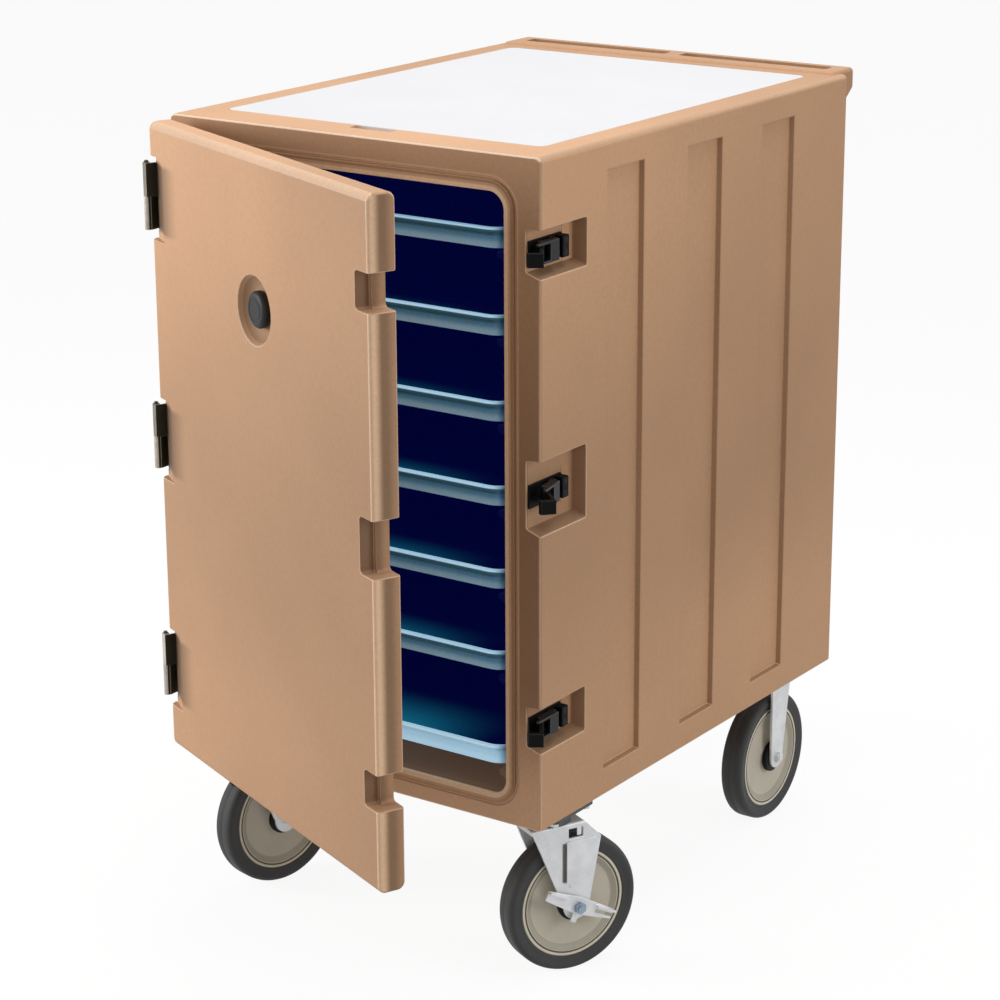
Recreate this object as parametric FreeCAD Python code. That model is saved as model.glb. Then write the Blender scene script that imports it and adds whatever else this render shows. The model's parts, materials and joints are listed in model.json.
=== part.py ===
import FreeCAD, Part
import math
import os

# Insulated food storage cart: moulded body with a hinged door, seven trays, a cutting
# board in the roof and four casters. Millimetres. While it is being built, X = 0 is the
# middle of the body, Y = 0 its front face and Z = 0 the floor. The finished pieces are
# moved together so that the origin is the middle of the footprint, on the floor.

V = FreeCAD.Vector
AXIS_X, AXIS_Y, AXIS_Z = V(1, 0, 0), V(0, 1, 0), V(0, 0, 1)

# Body
body_width = 718.0
body_depth = 949.0
body_height = 1077.0
ground_clearance = 295.0
body_edge_radius = 4.0
roof_edge_radius = 10.0
skin = 6.0
side_wall = 64.0
rear_wall = 64.0
floor_wall = 48.0
roof_wall = 58.0
opening_radius = 28.0
lip_width = 17.0
lip_height = 3.0
mouth_land = 21.0
mouth_step = 1.5

# Side grooves
groove_count = 3
groove_width = 108.0
groove_depth = 10.0
groove_draft = 3.0
groove_end_margin = 46.0

# Push handle on the rear top edge
handle_reach = 51.0
handle_rise = 5.0
handle_drop = 70.0
handle_nose = 36.0
handle_end_inset = 14.0
handle_bar = 22.0
handle_web = 30.0
handle_round = 8.0
handle_slot_round = 7.5

# Trays and their ledges
tray_count = 7
first_tray_height = 86.0
second_tray_height = 245.0
tray_headroom = 152.0
tray_side_gap = 8.0
tray_depth = 660.0
tray_height = 33.0
tray_rim = 7.0
tray_wall = 3.0
tray_corner = 42.0
tray_lip = 7.0
tray_draft = 5.0
tray_setback = 14.0
ledge_reach = 22.0
ledge_nose = 8.0
ledge_margin = 10.0

# Cutting board
board_side_margin = 50.5
board_thickness = 12.0
board_corner = 14.0
board_front_margin = 80.0
board_rear_margin = 54.0
board_round = 1.5
board_clearance = 1.0
finger_notch_width = 82.0
finger_notch_depth = 24.0
finger_notch_round = 9.0

# Door
door_thickness = 46.0
door_gap = 6.0
door_top_inset = 4.0
door_bottom_inset = 8.0
door_edge_radius = 13.0
door_free_edge_radius = 5.0
door_rest_angle = 23.5
door_swing = 270.0
door_rim = 28.0
door_latch_rim = 56.0
gasket_width = 10.0
fit_gap = 0.3

# Hinges
hinge_count = 3
hinge_low_margin = 150.0
hinge_high_margin = 127.0
hinge_height = 110.0
hinge_offset = 7.5
knuckle_radius = 6.0
hinge_pin_radius = 2.5
hinge_pin_head = 3.0
leaf_thickness = 2.5
leaf_length = 41.0
leaf_setback = 14.0
body_leaf_setback = 18.0
scoop_width = 52.0
scoop_depth = 14.0
scoop_height = 136.0
running_gap = 0.05

# Latches, from the lowest to the highest
latch_low_margin = 170.0
latch_high_margin = 147.0
pocket_depth = 26.0
pocket_length = 128.0
pocket_draft = 2.0
pocket_sill = 10.0
pocket_round = 4.0
pocket_half_heights = (38.0, 60.0, 38.0)
notch_half_heights = (29.0, 44.0, 29.0)
notch_depth = 32.0
notch_step = 8.0
notch_round = 6.0
latch_base_half_height = 19.0
latch_base_plate = 3.0
latch_base_front = 4.0
latch_block_length = 18.0
latch_block_round = 2.0
latch_heel_room = 3.0
latch_pivot_depth = 58.0
latch_pivot_rise = 10.0
latch_pin_radius = 2.5
latch_ear_radius = 6.0
latch_ear_inner = 8.5
latch_ear_thickness = 4.0
lever_cheek_gap = 0.5
lever_cheek = 3.5
lever_face_rise = 7.0
lever_thickness = 5.0
lever_length = 56.0
lever_flank = 4.0
hook_pivot_reach = 34.0
hook_thickness = 5.0
hook_half_height = 11.0
hook_tip = 8.0
hook_rest_angle = 36.0
lever_rest_angles = (0.0, 12.0, 0.0)
lever_swing = 95.0
hook_swing = 30.0

# Vent in the door
vent_drop = 242.0
dish_radius = 55.0
dish_floor_radius = 34.0
dish_depth = 18.0
vent_bush_radius = 11.0
vent_flange_radius = 17.0
vent_flange = 3.0
vent_stem_radius = 8.0
vent_stem_length = 24.0
vent_cap_radius = 29.0
vent_cap_thickness = 13.0
vent_cap_round = 3.0
vent_rib_count = 24

# Casters
wheel_radius = 119.0
wheel_width = 42.0
core_radius = 94.5
core_width = 36.0
core_rim = 8.0
core_rim_slope = 8.0
core_rim_step = 1.0
tread_shoulder = 9.0
tyre_flank = 9.0
shoulder_sag = 2.6
hub_radius = 24.0
hub_width = 46.0
hub_flare = 3.0
web_half = 12.0
axle_radius = 6.0
axle_head = 6.0
axle_nut = 7.0
axle_end = 9.0
fork_gap = 5.0
fork_plate = 5.0
crown_thickness = 8.0
crown_front = 49.0
crown_rear = 49.0
heel_reach = 81.0
heel_drop = 33.0
fork_boss = 24.0
fork_rib_radius = 4.0
fork_rib_rise = 2.0
fork_rib_margin = 14.0
fork_rib_lead = 12.0
fork_window_front = 20.0
fork_window_length = 27.0
fork_window_height = 17.0
fork_window_drop = 2.0
rigid_leg_rear = 48.0
rigid_boss = 20.0
caster_trail = 35.0
plate_width = 104.0
plate_length = 112.0
plate_thickness = 6.0
raceway_radius = 35.0
raceway_height = 22.0
raceway_draft = 7.0
plate_corner = 8.0
kingpin_radius = 8.0
kingpin_head = 6.0
bolt_radius = 5.0
bolt_head_radius = 8.0
bolt_head = 7.0
bolt_length = 22.0
bolt_margin = 11.0
front_caster_inset = 55.0
front_caster_y = 106.0
rear_caster_inset = 87.0
rear_caster_setback = 87.0
swivel_right = -26.5
swivel_left = -14.0
brake_hub_radius = 14.0
brake_hub = 8.0
brake_reach = 68.0
brake_arm = 4.0
brake_rise = 17.0
brake_tip_rise = 12.0
brake_root_drop = 13.0
brake_tip_drop = 5.0
brake_slot = 6.0
brake_slot_length = 36.0
brake_flange = 8.0
brake_flange_length = 38.0
brake_foot_width = 11.0
brake_foot_drop = 27.0
brake_tilt = 26.0

# Screws and plugs
screw_radius = 2.5
screw_head_radius = 4.5
screw_head = 2.0
screw_length = 14.0
fill_plug_radius = 12.0
fill_plug_head = 18.0
fill_plug_flange = 2.0

# Levels and planes that several pieces share
left = -body_width / 2
right = body_width / 2
under = ground_clearance
top = under + body_height
cavity_half = body_width / 2 - side_wall
tray_width = 2 * (cavity_half - tray_side_gap)
board_width = body_width - 2 * board_side_margin
board_depth = body_depth - board_front_margin - board_rear_margin
cavity_rear = body_depth - rear_wall
cavity_floor = under + floor_wall
cavity_roof = top - roof_wall
door_rear = -door_gap
door_front = -door_gap - door_thickness
door_bottom = under + door_bottom_inset
door_top = top - door_top_inset
hinge_x = left - hinge_offset
hinge_y = door_front
pocket_floor = right - pocket_depth
latch_pivot_x = pocket_floor + latch_pivot_rise
hook_pivot_x = latch_pivot_x + 1.0
hook_pivot_y = latch_pivot_depth - hook_pivot_reach
step_y = door_rear - door_thickness / 2
fork_inner = wheel_width / 2 + fork_gap
fork_outer = fork_inner + fork_plate
plate_bottom = under - plate_thickness
raceway_bottom = plate_bottom - raceway_height
crown_top = raceway_bottom - fit_gap
crown_bottom = crown_top - crown_thickness
board_floor = top - board_thickness - fit_gap
vent_level = top - vent_drop
front_caster_x = body_width / 2 - front_caster_inset
rear_caster_x = body_width / 2 - rear_caster_inset
rear_caster_y = body_depth - rear_caster_setback


def levels(low_margin, high_margin, count):
    """Heights spaced evenly between a margin over the underside and one below the top."""
    low = under + low_margin
    high = top - high_margin
    return [low + (high - low) * i / (count - 1) for i in range(count)]


hinge_levels = levels(hinge_low_margin, hinge_high_margin, hinge_count)
latch_levels = levels(latch_low_margin, latch_high_margin, len(pocket_half_heights))
upper_tray_levels = levels(second_tray_height, tray_headroom, tray_count - 1)
tray_levels = [under + first_tray_height] + upper_tray_levels
groove_centres = [body_depth * (i + 1) / (groove_count + 1) for i in range(groove_count)]
place_names = ("lower", "middle", "upper")


def block(x0, x1, y0, y1, z0, z1):
    return Part.makeBox(x1 - x0, y1 - y0, z1 - z0, V(x0, y0, z0))


def rounded(solid, radius, axis=None):
    """Fillet every edge of a solid, or only the straight ones along an axis."""
    edges = solid.Edges
    if axis:
        edges = [e for e in edges if abs(e.tangentAt(e.FirstParameter).dot(axis)) > 0.999]
    return solid.makeFillet(radius, edges)


def rod(radius, length, base, axis):
    return Part.makeCylinder(radius, length, base, axis)


def prism(points, travel):
    return Part.Face(Part.makePolygon(points + points[:1])).extrude(travel)


def hexagon(across, length, base, axis):
    """A hexagonal bolt head of the given corner radius."""
    side = AXIS_Z if abs(axis.z) < 0.5 else AXIS_X
    other = axis.cross(side)
    turns = [math.radians(60 * i) for i in range(6)]
    ring = [base + side * (across * math.cos(a)) + other * (across * math.sin(a)) for a in turns]
    return prism(ring, axis * length)


def bolt(radius, length, head_radius, head, base, axis):
    """A shank along an axis, with a hexagonal head behind its base."""
    shank = rod(radius, length, base, axis)
    return shank.fuse(hexagon(head_radius, head, base, axis * -1))


def screw(base, axis, length):
    """A countersunk screw whose flat head ends at its base point."""
    cone = Part.makeCone(screw_head_radius, screw_radius, screw_head, base, axis)
    return cone.fuse(rod(screw_radius, length, base, axis))


def rectangle_x(x, y0, y1, z0, z1):
    corners = [V(x, y0, z0), V(x, y1, z0), V(x, y1, z1), V(x, y0, z1)]
    return Part.makePolygon(corners + corners[:1])


def rounded_rectangle_z(x0, x1, y0, y1, z, radius):
    """A rectangle with round corners at height z."""
    plate = rounded(block(x0, x1, y0, y1, z, z + 1), radius, AXIS_Z)
    faces = [f for f in plate.Faces if abs(f.CenterOfMass.z - z) < 0.01]
    return faces[0].OuterWire


def turned(shape, angle, centre, axis=AXIS_Z):
    copy = shape.copy()
    copy.rotate(centre, axis, angle)
    return copy


def mirrored(shape):
    return shape.mirror(V(0, 0, 0), AXIS_X)


def latch_pocket(level, half):
    """The recess for one latch, open to the front, with a sloping lower wall."""
    front = -pocket_draft
    outer = rectangle_x(right + 1, front, pocket_length, level - half, level + half)
    inner = rectangle_x(pocket_floor, front, pocket_length - 2 * pocket_draft,
                        level - half + pocket_sill, level + half - pocket_draft)
    pocket = Part.makeLoft([inner, outer], True, True)
    inside = [e for e in pocket.Edges if e.CenterOfMass.y > front + 1 and e.CenterOfMass.x < right]
    return pocket.makeFillet(pocket_round, inside)


def side_groove(centre):
    """A shallow drafted panel groove on the right side."""
    z0 = under + groove_end_margin
    z1 = top - groove_end_margin
    half = groove_width / 2
    slope = groove_draft
    outer = rectangle_x(right, centre - half, centre + half, z0, z1)
    inner = rectangle_x(right - groove_depth, centre - half + slope, centre + half - slope,
                        z0 + slope, z1 - slope)
    return Part.makeLoft([inner, outer], True, True)


def handle():
    """The push bar: a sloping bracket along the rear edge with two hand slots."""
    rear = body_depth
    start = rear - handle_reach / 2
    crest = top + handle_rise
    profile = [
        V(left + handle_end_inset, start, crest),
        V(left + handle_end_inset, rear + handle_reach, crest),
        V(left + handle_end_inset, rear + handle_reach, crest - handle_nose),
        V(left + handle_end_inset, rear, top - handle_drop),
        V(left + handle_end_inset, start, top - handle_drop),
    ]
    bar = prism(profile, V(body_width - 2 * handle_end_inset, 0, 0))
    outside = [e for e in bar.Edges
               if e.CenterOfMass.y > rear + handle_reach / 4 or e.CenterOfMass.z > top]
    bar = bar.makeFillet(handle_round, outside)
    end = body_width / 2 - handle_end_inset - handle_web
    for sign in (-1, 1):
        near, far = sorted((sign * handle_web / 2, sign * end))
        slot = block(near, far, rear, rear + handle_reach - handle_bar, top - handle_drop - 1, crest + 1)
        bar = bar.cut(rounded(slot, handle_slot_round, AXIS_Z))
    return bar


def board_recess():
    """The seat for the cutting board, with a finger notch in its front edge."""
    half = board_width / 2 + board_clearance
    front = board_front_margin - board_clearance
    rear = board_front_margin + board_depth + board_clearance
    roof = top + board_thickness
    seat = rounded(block(-half, half, front, rear, board_floor, roof), board_corner + board_clearance, AXIS_Z)
    notch_half = finger_notch_width / 2
    notch_front = front - finger_notch_depth
    notch = block(-notch_half, notch_half, notch_front, front + finger_notch_depth, board_floor, roof)
    return seat.fuse(rounded(notch, finger_notch_round, AXIS_Z))


def mouth_block(margin, front, rear):
    """A block with the outline of the compartment's mouth, grown by a margin."""
    room = block(-cavity_half - margin, cavity_half + margin, front, rear,
                 cavity_floor - margin, cavity_roof + margin)
    return rounded(room, opening_radius + margin, AXIS_Y)


def liner_space(margin, front):
    """The food compartment, grown by a margin, from a front plane to the rear."""
    return mouth_block(margin, front, cavity_rear + margin)


def caster_places():
    """The middle of each caster's mounting plate."""
    rows = ((front_caster_x, front_caster_y), (rear_caster_x, rear_caster_y))
    return [(sign * x, y) for x, y in rows for sign in (-1, 1)]


def plate_block(x, y, z0, z1):
    """A block with the outline of a caster's mounting plate."""
    dx = plate_width / 2
    dy = plate_length / 2
    return block(x - dx, x + dx, y - dy, y + dy, z0, z1)


def caster_bolt_places():
    dx = plate_width / 2 - bolt_margin
    dy = plate_length / 2 - bolt_margin
    return [(x + i * dx, y + j * dy) for x, y in caster_places() for i in (-1, 1) for j in (-1, 1)]


def caster_bolts():
    return [bolt(bolt_radius, bolt_length + plate_thickness, bolt_head_radius, bolt_head,
                 V(x, y, plate_bottom), AXIS_Z) for x, y in caster_bolt_places()]


def hinge_screws_in_body():
    x = left - fit_gap - leaf_thickness
    return [screw(V(x, leaf_length * 0.6, z + k * hinge_height * 0.3), AXIS_X, screw_length)
            for z in hinge_levels for k in (-1, 1)]


def hinge_screws_in_door():
    y = hinge_y + leaf_setback + (leaf_length - leaf_setback) / 2
    return [screw(V(left + fit_gap, y, z + k * hinge_height * 0.3), AXIS_X, screw_length)
            for z in hinge_levels for k in (-1, 1)]


def latch_block_range():
    """The rear block of a latch base, clear of the lever's heel."""
    front = latch_pivot_depth + lever_face_rise + lever_thickness + latch_heel_room
    return front, front + latch_block_length


def latch_screws():
    front, rear = latch_block_range()
    crest = pocket_floor + fit_gap + latch_pivot_rise + lever_face_rise + 1
    return [screw(V(crest, (front + rear) / 2, z + k * latch_base_half_height / 2), V(-1, 0, 0),
                  crest - pocket_floor + screw_length) for z in latch_levels for k in (-1, 1)]


def screw_seats():
    """Countersinks a little wider than the heads of the latch screws."""
    seats = []
    for shape in latch_screws():
        tip = shape.BoundBox.XMax
        middle = shape.BoundBox.Center
        start = V(tip, middle.y, middle.z)
        mouth = screw_head_radius + running_gap
        neck = screw_radius + running_gap
        seats.append(Part.makeCone(mouth, neck, screw_head, start, V(-1, 0, 0)))
    return seats


def holes_for(shapes, gap=running_gap):
    """Round holes a little wider than the shanks of screws and bolts."""
    holes = []
    for shape in shapes:
        for face in shape.Faces:
            if isinstance(face.Surface, Part.Cylinder):
                box = face.BoundBox
                axis = face.Surface.Axis
                length = max(box.XLength, box.YLength, box.ZLength)
                base = face.Surface.Center
                middle = box.Center
                start = base + axis * ((middle - base).dot(axis) - length / 2)
                holes.append(rod(face.Surface.Radius + gap, length, start, axis))
    return holes


def body_block():
    """The plain outside: wide rounds along the sides of the roof, small ones elsewhere."""
    solid = block(left, right, 0, body_depth, under, top)
    crests = [e for e in solid.Edges
              if e.CenterOfMass.z > top - 0.01 and abs(e.CenterOfMass.x) > right - 0.01]
    solid = solid.makeFillet(roof_edge_radius, crests)
    sharp = [e for e in solid.Edges if e.CenterOfMass.y < 0.01 or e.CenterOfMass.y > body_depth - 0.01
             or e.CenterOfMass.z < under + 0.01]
    return solid.makeFillet(body_edge_radius, sharp)


def body_outer():
    """The moulded outside with all its recesses, still solid inside."""
    solid = body_block().fuse(handle())
    cuts = [board_recess()]
    for centre in groove_centres:
        groove = side_groove(centre)
        cuts += [groove, mirrored(groove)]
    for level, half in zip(latch_levels, pocket_half_heights):
        cuts.append(latch_pocket(level, half))
    return solid.cut(cuts)


def foam_space():
    """The hollow between the outside and the liner, less the solid pads for fixings."""
    pad = screw_length + 2 * skin
    foam = block(left + skin, right - skin, skin, body_depth - skin, under + skin, board_floor - skin)
    cuts = [liner_space(skin + fit_gap, -1)]
    for centre in groove_centres:
        half = groove_width / 2 + skin
        groove = block(right - groove_depth - skin, right, centre - half, centre + half, under, top)
        cuts += [groove, mirrored(groove)]
    for level, half in zip(latch_levels, pocket_half_heights):
        cuts.append(block(pocket_floor - screw_length - 1, right, 0, pocket_length + skin,
                          level - half - skin, level + half + skin))
    for level in hinge_levels:
        half = hinge_height / 2
        cuts.append(block(left, left + pad, 0, leaf_length + pad, level - half, level + half))
    for x, y in caster_places():
        cuts.append(plate_block(x, y, under, under + bolt_length + skin))
    return foam.cut(cuts)


def fill_plug(base, length):
    """A round plug with a flat head, closing a foam filling port."""
    stem = rod(fill_plug_radius, length, base, AXIS_Z)
    return stem.fuse(rod(fill_plug_head, fill_plug_flange, base, AXIS_Z * -1))


def make_body():
    foam = foam_space()
    plug = fill_plug(V(0, body_depth / 2, under), skin)
    mouth = mouth_block(mouth_land, -1, mouth_step)
    shell = body_outer().cut([foam, liner_space(skin + fit_gap, -1), mouth])
    fixings = caster_bolts() + hinge_screws_in_body() + latch_screws()
    shell = shell.cut(holes_for(fixings) + holes_for([plug]))
    return {"body_shell": shell, "body_insulation": foam, "body_fill_plug": plug}


def make_liner():
    """The food compartment: a box with a flange round its mouth and moulded tray ledges."""
    liner = liner_space(skin, 0)
    lip = mouth_block(lip_width, -lip_height, mouth_step)
    rim = [e for e in lip.Edges if e.CenterOfMass.y < 0.01 - lip_height]
    liner = liner.fuse(lip.makeFillet(lip_height / 2, rim)).cut(liner_space(0, -lip_height - 1))
    ledges = []
    for level in tray_levels:
        wall = cavity_half + skin / 2
        nose = cavity_half - ledge_reach
        profile = [V(nose, ledge_margin, level), V(wall, ledge_margin, level),
                   V(wall, ledge_margin, level - ledge_nose - ledge_reach / 2),
                   V(cavity_half, ledge_margin, level - ledge_nose - ledge_reach / 2),
                   V(nose, ledge_margin, level - ledge_nose)]
        ledge = prism(profile, V(0, cavity_rear - ledge_margin, 0))
        ledges += [ledge, mirrored(ledge)]
    return {"body_liner": liner.fuse(ledges)}


def make_tray(level):
    """A shallow drafted pan with round corners and a rolled rim."""
    x = tray_width / 2
    y0, y1 = tray_setback, tray_setback + tray_depth
    crest = level + tray_height

    def ring(inset, z):
        return rounded_rectangle_z(-x + inset, x - inset, y0 + inset, y1 - inset, z, tray_corner - inset)

    foot = tray_lip + tray_draft
    outside = Part.makeLoft([ring(foot, level), ring(tray_lip, crest)], True, True)
    inner_foot = ring(foot + tray_wall, level + tray_wall)
    inside = Part.makeLoft([inner_foot, ring(tray_lip + tray_wall, crest)], True, True)
    rim = Part.Face(ring(0, crest - tray_rim)).extrude(V(0, 0, tray_rim))
    rim = rim.makeFillet(tray_wall / 2, [e for e in rim.Edges if e.Length > tray_corner * 0.5])
    return outside.fuse(rim).cut(inside)


def make_board():
    half = board_width / 2
    rear = board_front_margin + board_depth
    z0 = board_floor + fit_gap
    board = rounded(block(-half, half, board_front_margin, rear, z0, top), board_corner, AXIS_Z)
    rim = [e for e in board.Edges if e.CenterOfMass.z > top - 0.01]
    return {"cutting_board": board.makeFillet(board_round, rim)}


def hinge_scoop(level):
    """The curved hollow in the door's front edge in front of one hinge."""
    z0 = level - scoop_height / 2
    outer = V(left, hinge_y + scoop_depth, z0)
    inner = V(left + scoop_width, hinge_y, z0)
    mid = V(left + scoop_width * 0.4, hinge_y + scoop_depth * 0.68, z0)
    front = hinge_y - scoop_depth
    side = left - scoop_depth
    corner = [V(left + scoop_width, front, z0), V(side, front, z0), V(side, outer.y, z0)]
    path = [Part.makeLine(a, b) for a, b in zip([inner] + corner, corner + [outer])]
    path.append(Part.Arc(outer, mid, inner).toShape())
    return Part.Face(Part.Wire(path)).extrude(V(0, 0, scoop_height))


def door_notch(level, half):
    """The cut in the free edge for one hook, deeper in front so that it leaves a step."""
    inner = right - notch_depth
    outer = right + 2 * notch_round
    rear = block(inner, outer, step_y - 1, 0, level - half, level + half)
    front = block(inner - notch_step, outer, door_front - 1, step_y, level - half, level + half)
    return rounded(rear, notch_round, AXIS_Y).fuse(rounded(front, notch_round, AXIS_Y))


def vent_dish():
    """A round dished hollow in the door's front, on a flat floor."""
    z = vent_level
    rim = V(dish_radius, door_front, z)
    floor = V(dish_floor_radius, door_front + dish_depth, z)
    mid = V(dish_radius - (dish_radius - dish_floor_radius) * 0.35, door_front + dish_depth * 0.62, z)
    centre = V(0, door_front + dish_depth, z)
    start = V(0, door_front - 1, z)
    above = V(dish_radius, door_front - 1, z)
    edges = [Part.makeLine(start, above), Part.makeLine(above, rim), Part.Arc(rim, mid, floor).toShape(),
             Part.makeLine(floor, centre), Part.makeLine(centre, start)]
    return Part.Face(Part.Wire(edges)).revolve(V(0, 0, z), AXIS_Y, 360)


def door_panel_space(gap):
    """The inner panel of the door, grown by a gap at its edges."""
    z0 = door_bottom + door_rim - gap
    z1 = door_top - door_rim + gap
    latch_side = right - door_latch_rim + skin + gap
    panel = block(left + door_rim - gap, latch_side, door_rear - skin, door_rear, z0, z1)
    return rounded(panel, opening_radius + gap, AXIS_Y)


def door_foam():
    foam = block(left + door_rim + skin, right - door_latch_rim, door_front + skin, door_rear - skin,
                 door_bottom + door_rim + skin, door_top - door_rim - skin)
    tube = rod(dish_radius + skin, door_thickness, V(0, door_front, vent_level), AXIS_Y)
    return foam.cut(tube)


def door_block():
    """The plain door: small rounds down its free edge, wide ones elsewhere."""
    solid = block(left, right, door_front, door_rear, door_bottom, door_top)
    soft = [e for e in solid.Edges if e.CenterOfMass.x < right - 0.01]
    solid = solid.makeFillet(door_edge_radius, soft)
    free = [e for e in solid.Edges if e.CenterOfMass.x > right - 0.01]
    return solid.makeFillet(door_free_edge_radius, free)


def make_door():
    outer = door_block()
    cuts = [vent_dish(), door_panel_space(fit_gap), door_foam()]
    for level in hinge_levels:
        reach = hinge_height / 2 + fit_gap
        cuts.append(hinge_scoop(level))
        cuts.append(block(left - 1, left + leaf_thickness + 2 * fit_gap, hinge_y - 1,
                          hinge_y + leaf_length + fit_gap, level - reach, level + reach))
    for level, half in zip(latch_levels, notch_half_heights):
        cuts.append(door_notch(level, half))
    bush = rod(vent_bush_radius + running_gap, door_thickness, V(0, door_front, vent_level), AXIS_Y)
    plug_place = V(left + body_width * 0.3, door_rear - door_thickness / 2, door_bottom)
    plug = fill_plug(plug_place, door_rim + skin)
    shell = outer.cut(cuts + [bush] + holes_for(hinge_screws_in_door()) + holes_for([plug]))
    panel = door_panel_space(0).cut(bush)
    return {"door_shell": shell, "door_panel": panel, "door_insulation": door_foam(),
            "door_fill_plug": plug, "door_gasket": door_gasket()}


def door_gasket():
    """A flat seal ring on the inner panel, facing the lip of the body's mouth."""
    inset = (lip_width - gasket_width) / 2
    rear = -lip_height - fit_gap
    ring = mouth_block(inset + gasket_width, door_rear, rear)
    return ring.cut(mouth_block(inset, door_rear - 1, rear + 1))


def knuckle(level, sign):
    """Half of a hinge's barrel: below its middle for the body, above it for the door."""
    length = hinge_height / 2 - fit_gap
    z0 = level + fit_gap / 2 if sign > 0 else level - fit_gap / 2 - length
    barrel = rod(knuckle_radius, length, V(hinge_x, hinge_y, z0), AXIS_Z)
    return barrel, z0, z0 + length


def pin_hole(level):
    start = V(hinge_x, hinge_y, level - hinge_height)
    return rod(hinge_pin_radius + running_gap, 2 * hinge_height, start, AXIS_Z)


def body_leaf(level):
    barrel, z0, z1 = knuckle(level, -1)
    x0, x1 = left - fit_gap - leaf_thickness, left - fit_gap
    half = hinge_height / 2
    plate = block(x0, x1, hinge_y + body_leaf_setback, leaf_length, level - half, level + half)
    arm = block(x0, x1, hinge_y, hinge_y + body_leaf_setback, z0, z1)
    return plate.fuse([arm, barrel]).cut([pin_hole(level)] + hinge_screws_in_body())


def door_leaf(level):
    barrel, z0, z1 = knuckle(level, 1)
    x0, x1 = left + fit_gap, left + fit_gap + leaf_thickness
    half = hinge_height / 2
    front = hinge_y - knuckle_radius
    plate = block(x0, x1, hinge_y + leaf_setback, hinge_y + leaf_length, level - half, level + half)
    arm = block(x0, x1, front, hinge_y + leaf_setback, z0, z1)
    bend = block(hinge_x, x1, front, front + leaf_thickness, z0, z1)
    return plate.fuse([arm, bend, barrel]).cut([pin_hole(level)] + hinge_screws_in_door())


def hinge_pin(level):
    """A pin through both barrels, with a domed head on top."""
    half = hinge_height / 2
    shank = rod(hinge_pin_radius, hinge_height, V(hinge_x, hinge_y, level - half), AXIS_Z)
    crown = V(hinge_x, hinge_y, level + half)
    head = Part.makeCone(hinge_pin_radius * 1.7, hinge_pin_radius * 1.2, hinge_pin_head, crown, AXIS_Z)
    return shank.fuse(head)


def make_latch_base(level):
    """A foot plate with two pivot ears and a block behind them."""
    x0 = pocket_floor + fit_gap
    x1 = x0 + latch_base_plate
    half = latch_base_half_height
    front, rear = latch_block_range()
    crest = x0 + latch_pivot_rise + lever_face_rise + 1
    plate = block(x0, x1, latch_base_front, rear, level - half, level + half)
    side = half - latch_block_round
    heel = block(x0, crest, front, rear, level - side, level + side)
    parts = [rounded(heel, latch_block_round)]
    y = latch_pivot_depth
    for sign in (-1, 1):
        z0 = min(sign * latch_ear_inner, sign * (latch_ear_inner + latch_ear_thickness)) + level
        z1 = z0 + latch_ear_thickness
        parts.append(block(x0, latch_pivot_x, y - latch_ear_radius, y + latch_ear_radius, z0, z1))
        parts.append(rod(latch_ear_radius, latch_ear_thickness, V(latch_pivot_x, y, z0), AXIS_Z))
    pin = rod(latch_pin_radius + running_gap, 4 * half, V(latch_pivot_x, y, level - 2 * half), AXIS_Z)
    return plate.fuse(parts).cut([pin] + holes_for(latch_screws()) + screw_seats())


def latch_base_pin(level):
    half = latch_ear_inner + latch_ear_thickness + lever_cheek_gap + lever_cheek
    return rod(latch_pin_radius, 2 * half, V(latch_pivot_x, latch_pivot_depth, level - half), AXIS_Z)


def make_lever(level):
    """A forked lever: a face plate, two cheeks and two prongs that hold the hook's pin."""
    cheek_inner = latch_ear_inner + latch_ear_thickness + lever_cheek_gap
    cheek_outer = cheek_inner + lever_cheek
    x0 = latch_pivot_x + lever_face_rise
    x1 = x0 + lever_thickness
    rear = latch_pivot_depth
    split = hook_pivot_y + latch_ear_radius + hook_thickness
    face = block(x0, x1, split, rear, level - cheek_outer, level + cheek_outer)
    parts = []
    for sign in (-1, 1):
        z0 = min(sign * cheek_inner, sign * cheek_outer) + level
        flank = [V(latch_pivot_x - lever_flank, rear, z0), V(hook_pivot_x - lever_flank, hook_pivot_y, z0),
                 V(x0 + 1, hook_pivot_y - hook_thickness, z0), V(x0 + 1, rear, z0)]
        prong = block(x0, x1, rear - lever_length, split, z0, z0 + lever_cheek)
        parts += [prism(flank, V(0, 0, lever_cheek)), prong,
                  rod(latch_ear_radius, lever_cheek, V(latch_pivot_x, rear, z0), AXIS_Z),
                  rod(latch_ear_radius - 0.5, lever_cheek, V(hook_pivot_x, hook_pivot_y, z0), AXIS_Z)]
    pin = rod(latch_pin_radius, 2 * cheek_outer, V(hook_pivot_x, hook_pivot_y, level - cheek_outer), AXIS_Z)
    start = V(latch_pivot_x, rear, level - 2 * cheek_outer)
    hole = rod(latch_pin_radius + running_gap, 4 * cheek_outer, start, AXIS_Z)
    return face.fuse(parts + [pin]).cut(hole)


def make_hook(level):
    """A flat link from the lever's pin to a claw that grips the step in the door."""
    half = hook_half_height
    x0 = hook_pivot_x - hook_thickness / 2
    x1 = x0 + hook_thickness
    claw_rear = step_y - 0.5
    claw_front = claw_rear - hook_tip
    outline = [V(x0, hook_pivot_y, level - half), V(x0, claw_rear, level - half),
               V(right - notch_depth - notch_step + 1.5, claw_rear, level - half),
               V(right - notch_depth - notch_step + 3.5, claw_front, level - half),
               V(x1, claw_front, level - half), V(x1, hook_pivot_y, level - half)]
    link = prism(outline, V(0, 0, 2 * half))
    eye = rod(hook_thickness, 2 * half, V(hook_pivot_x, hook_pivot_y, level - half), AXIS_Z)
    start = V(hook_pivot_x, hook_pivot_y, level - 2 * half)
    hole = rod(latch_pin_radius + running_gap, 4 * half, start, AXIS_Z)
    return link.fuse(eye).cut(hole)


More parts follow.
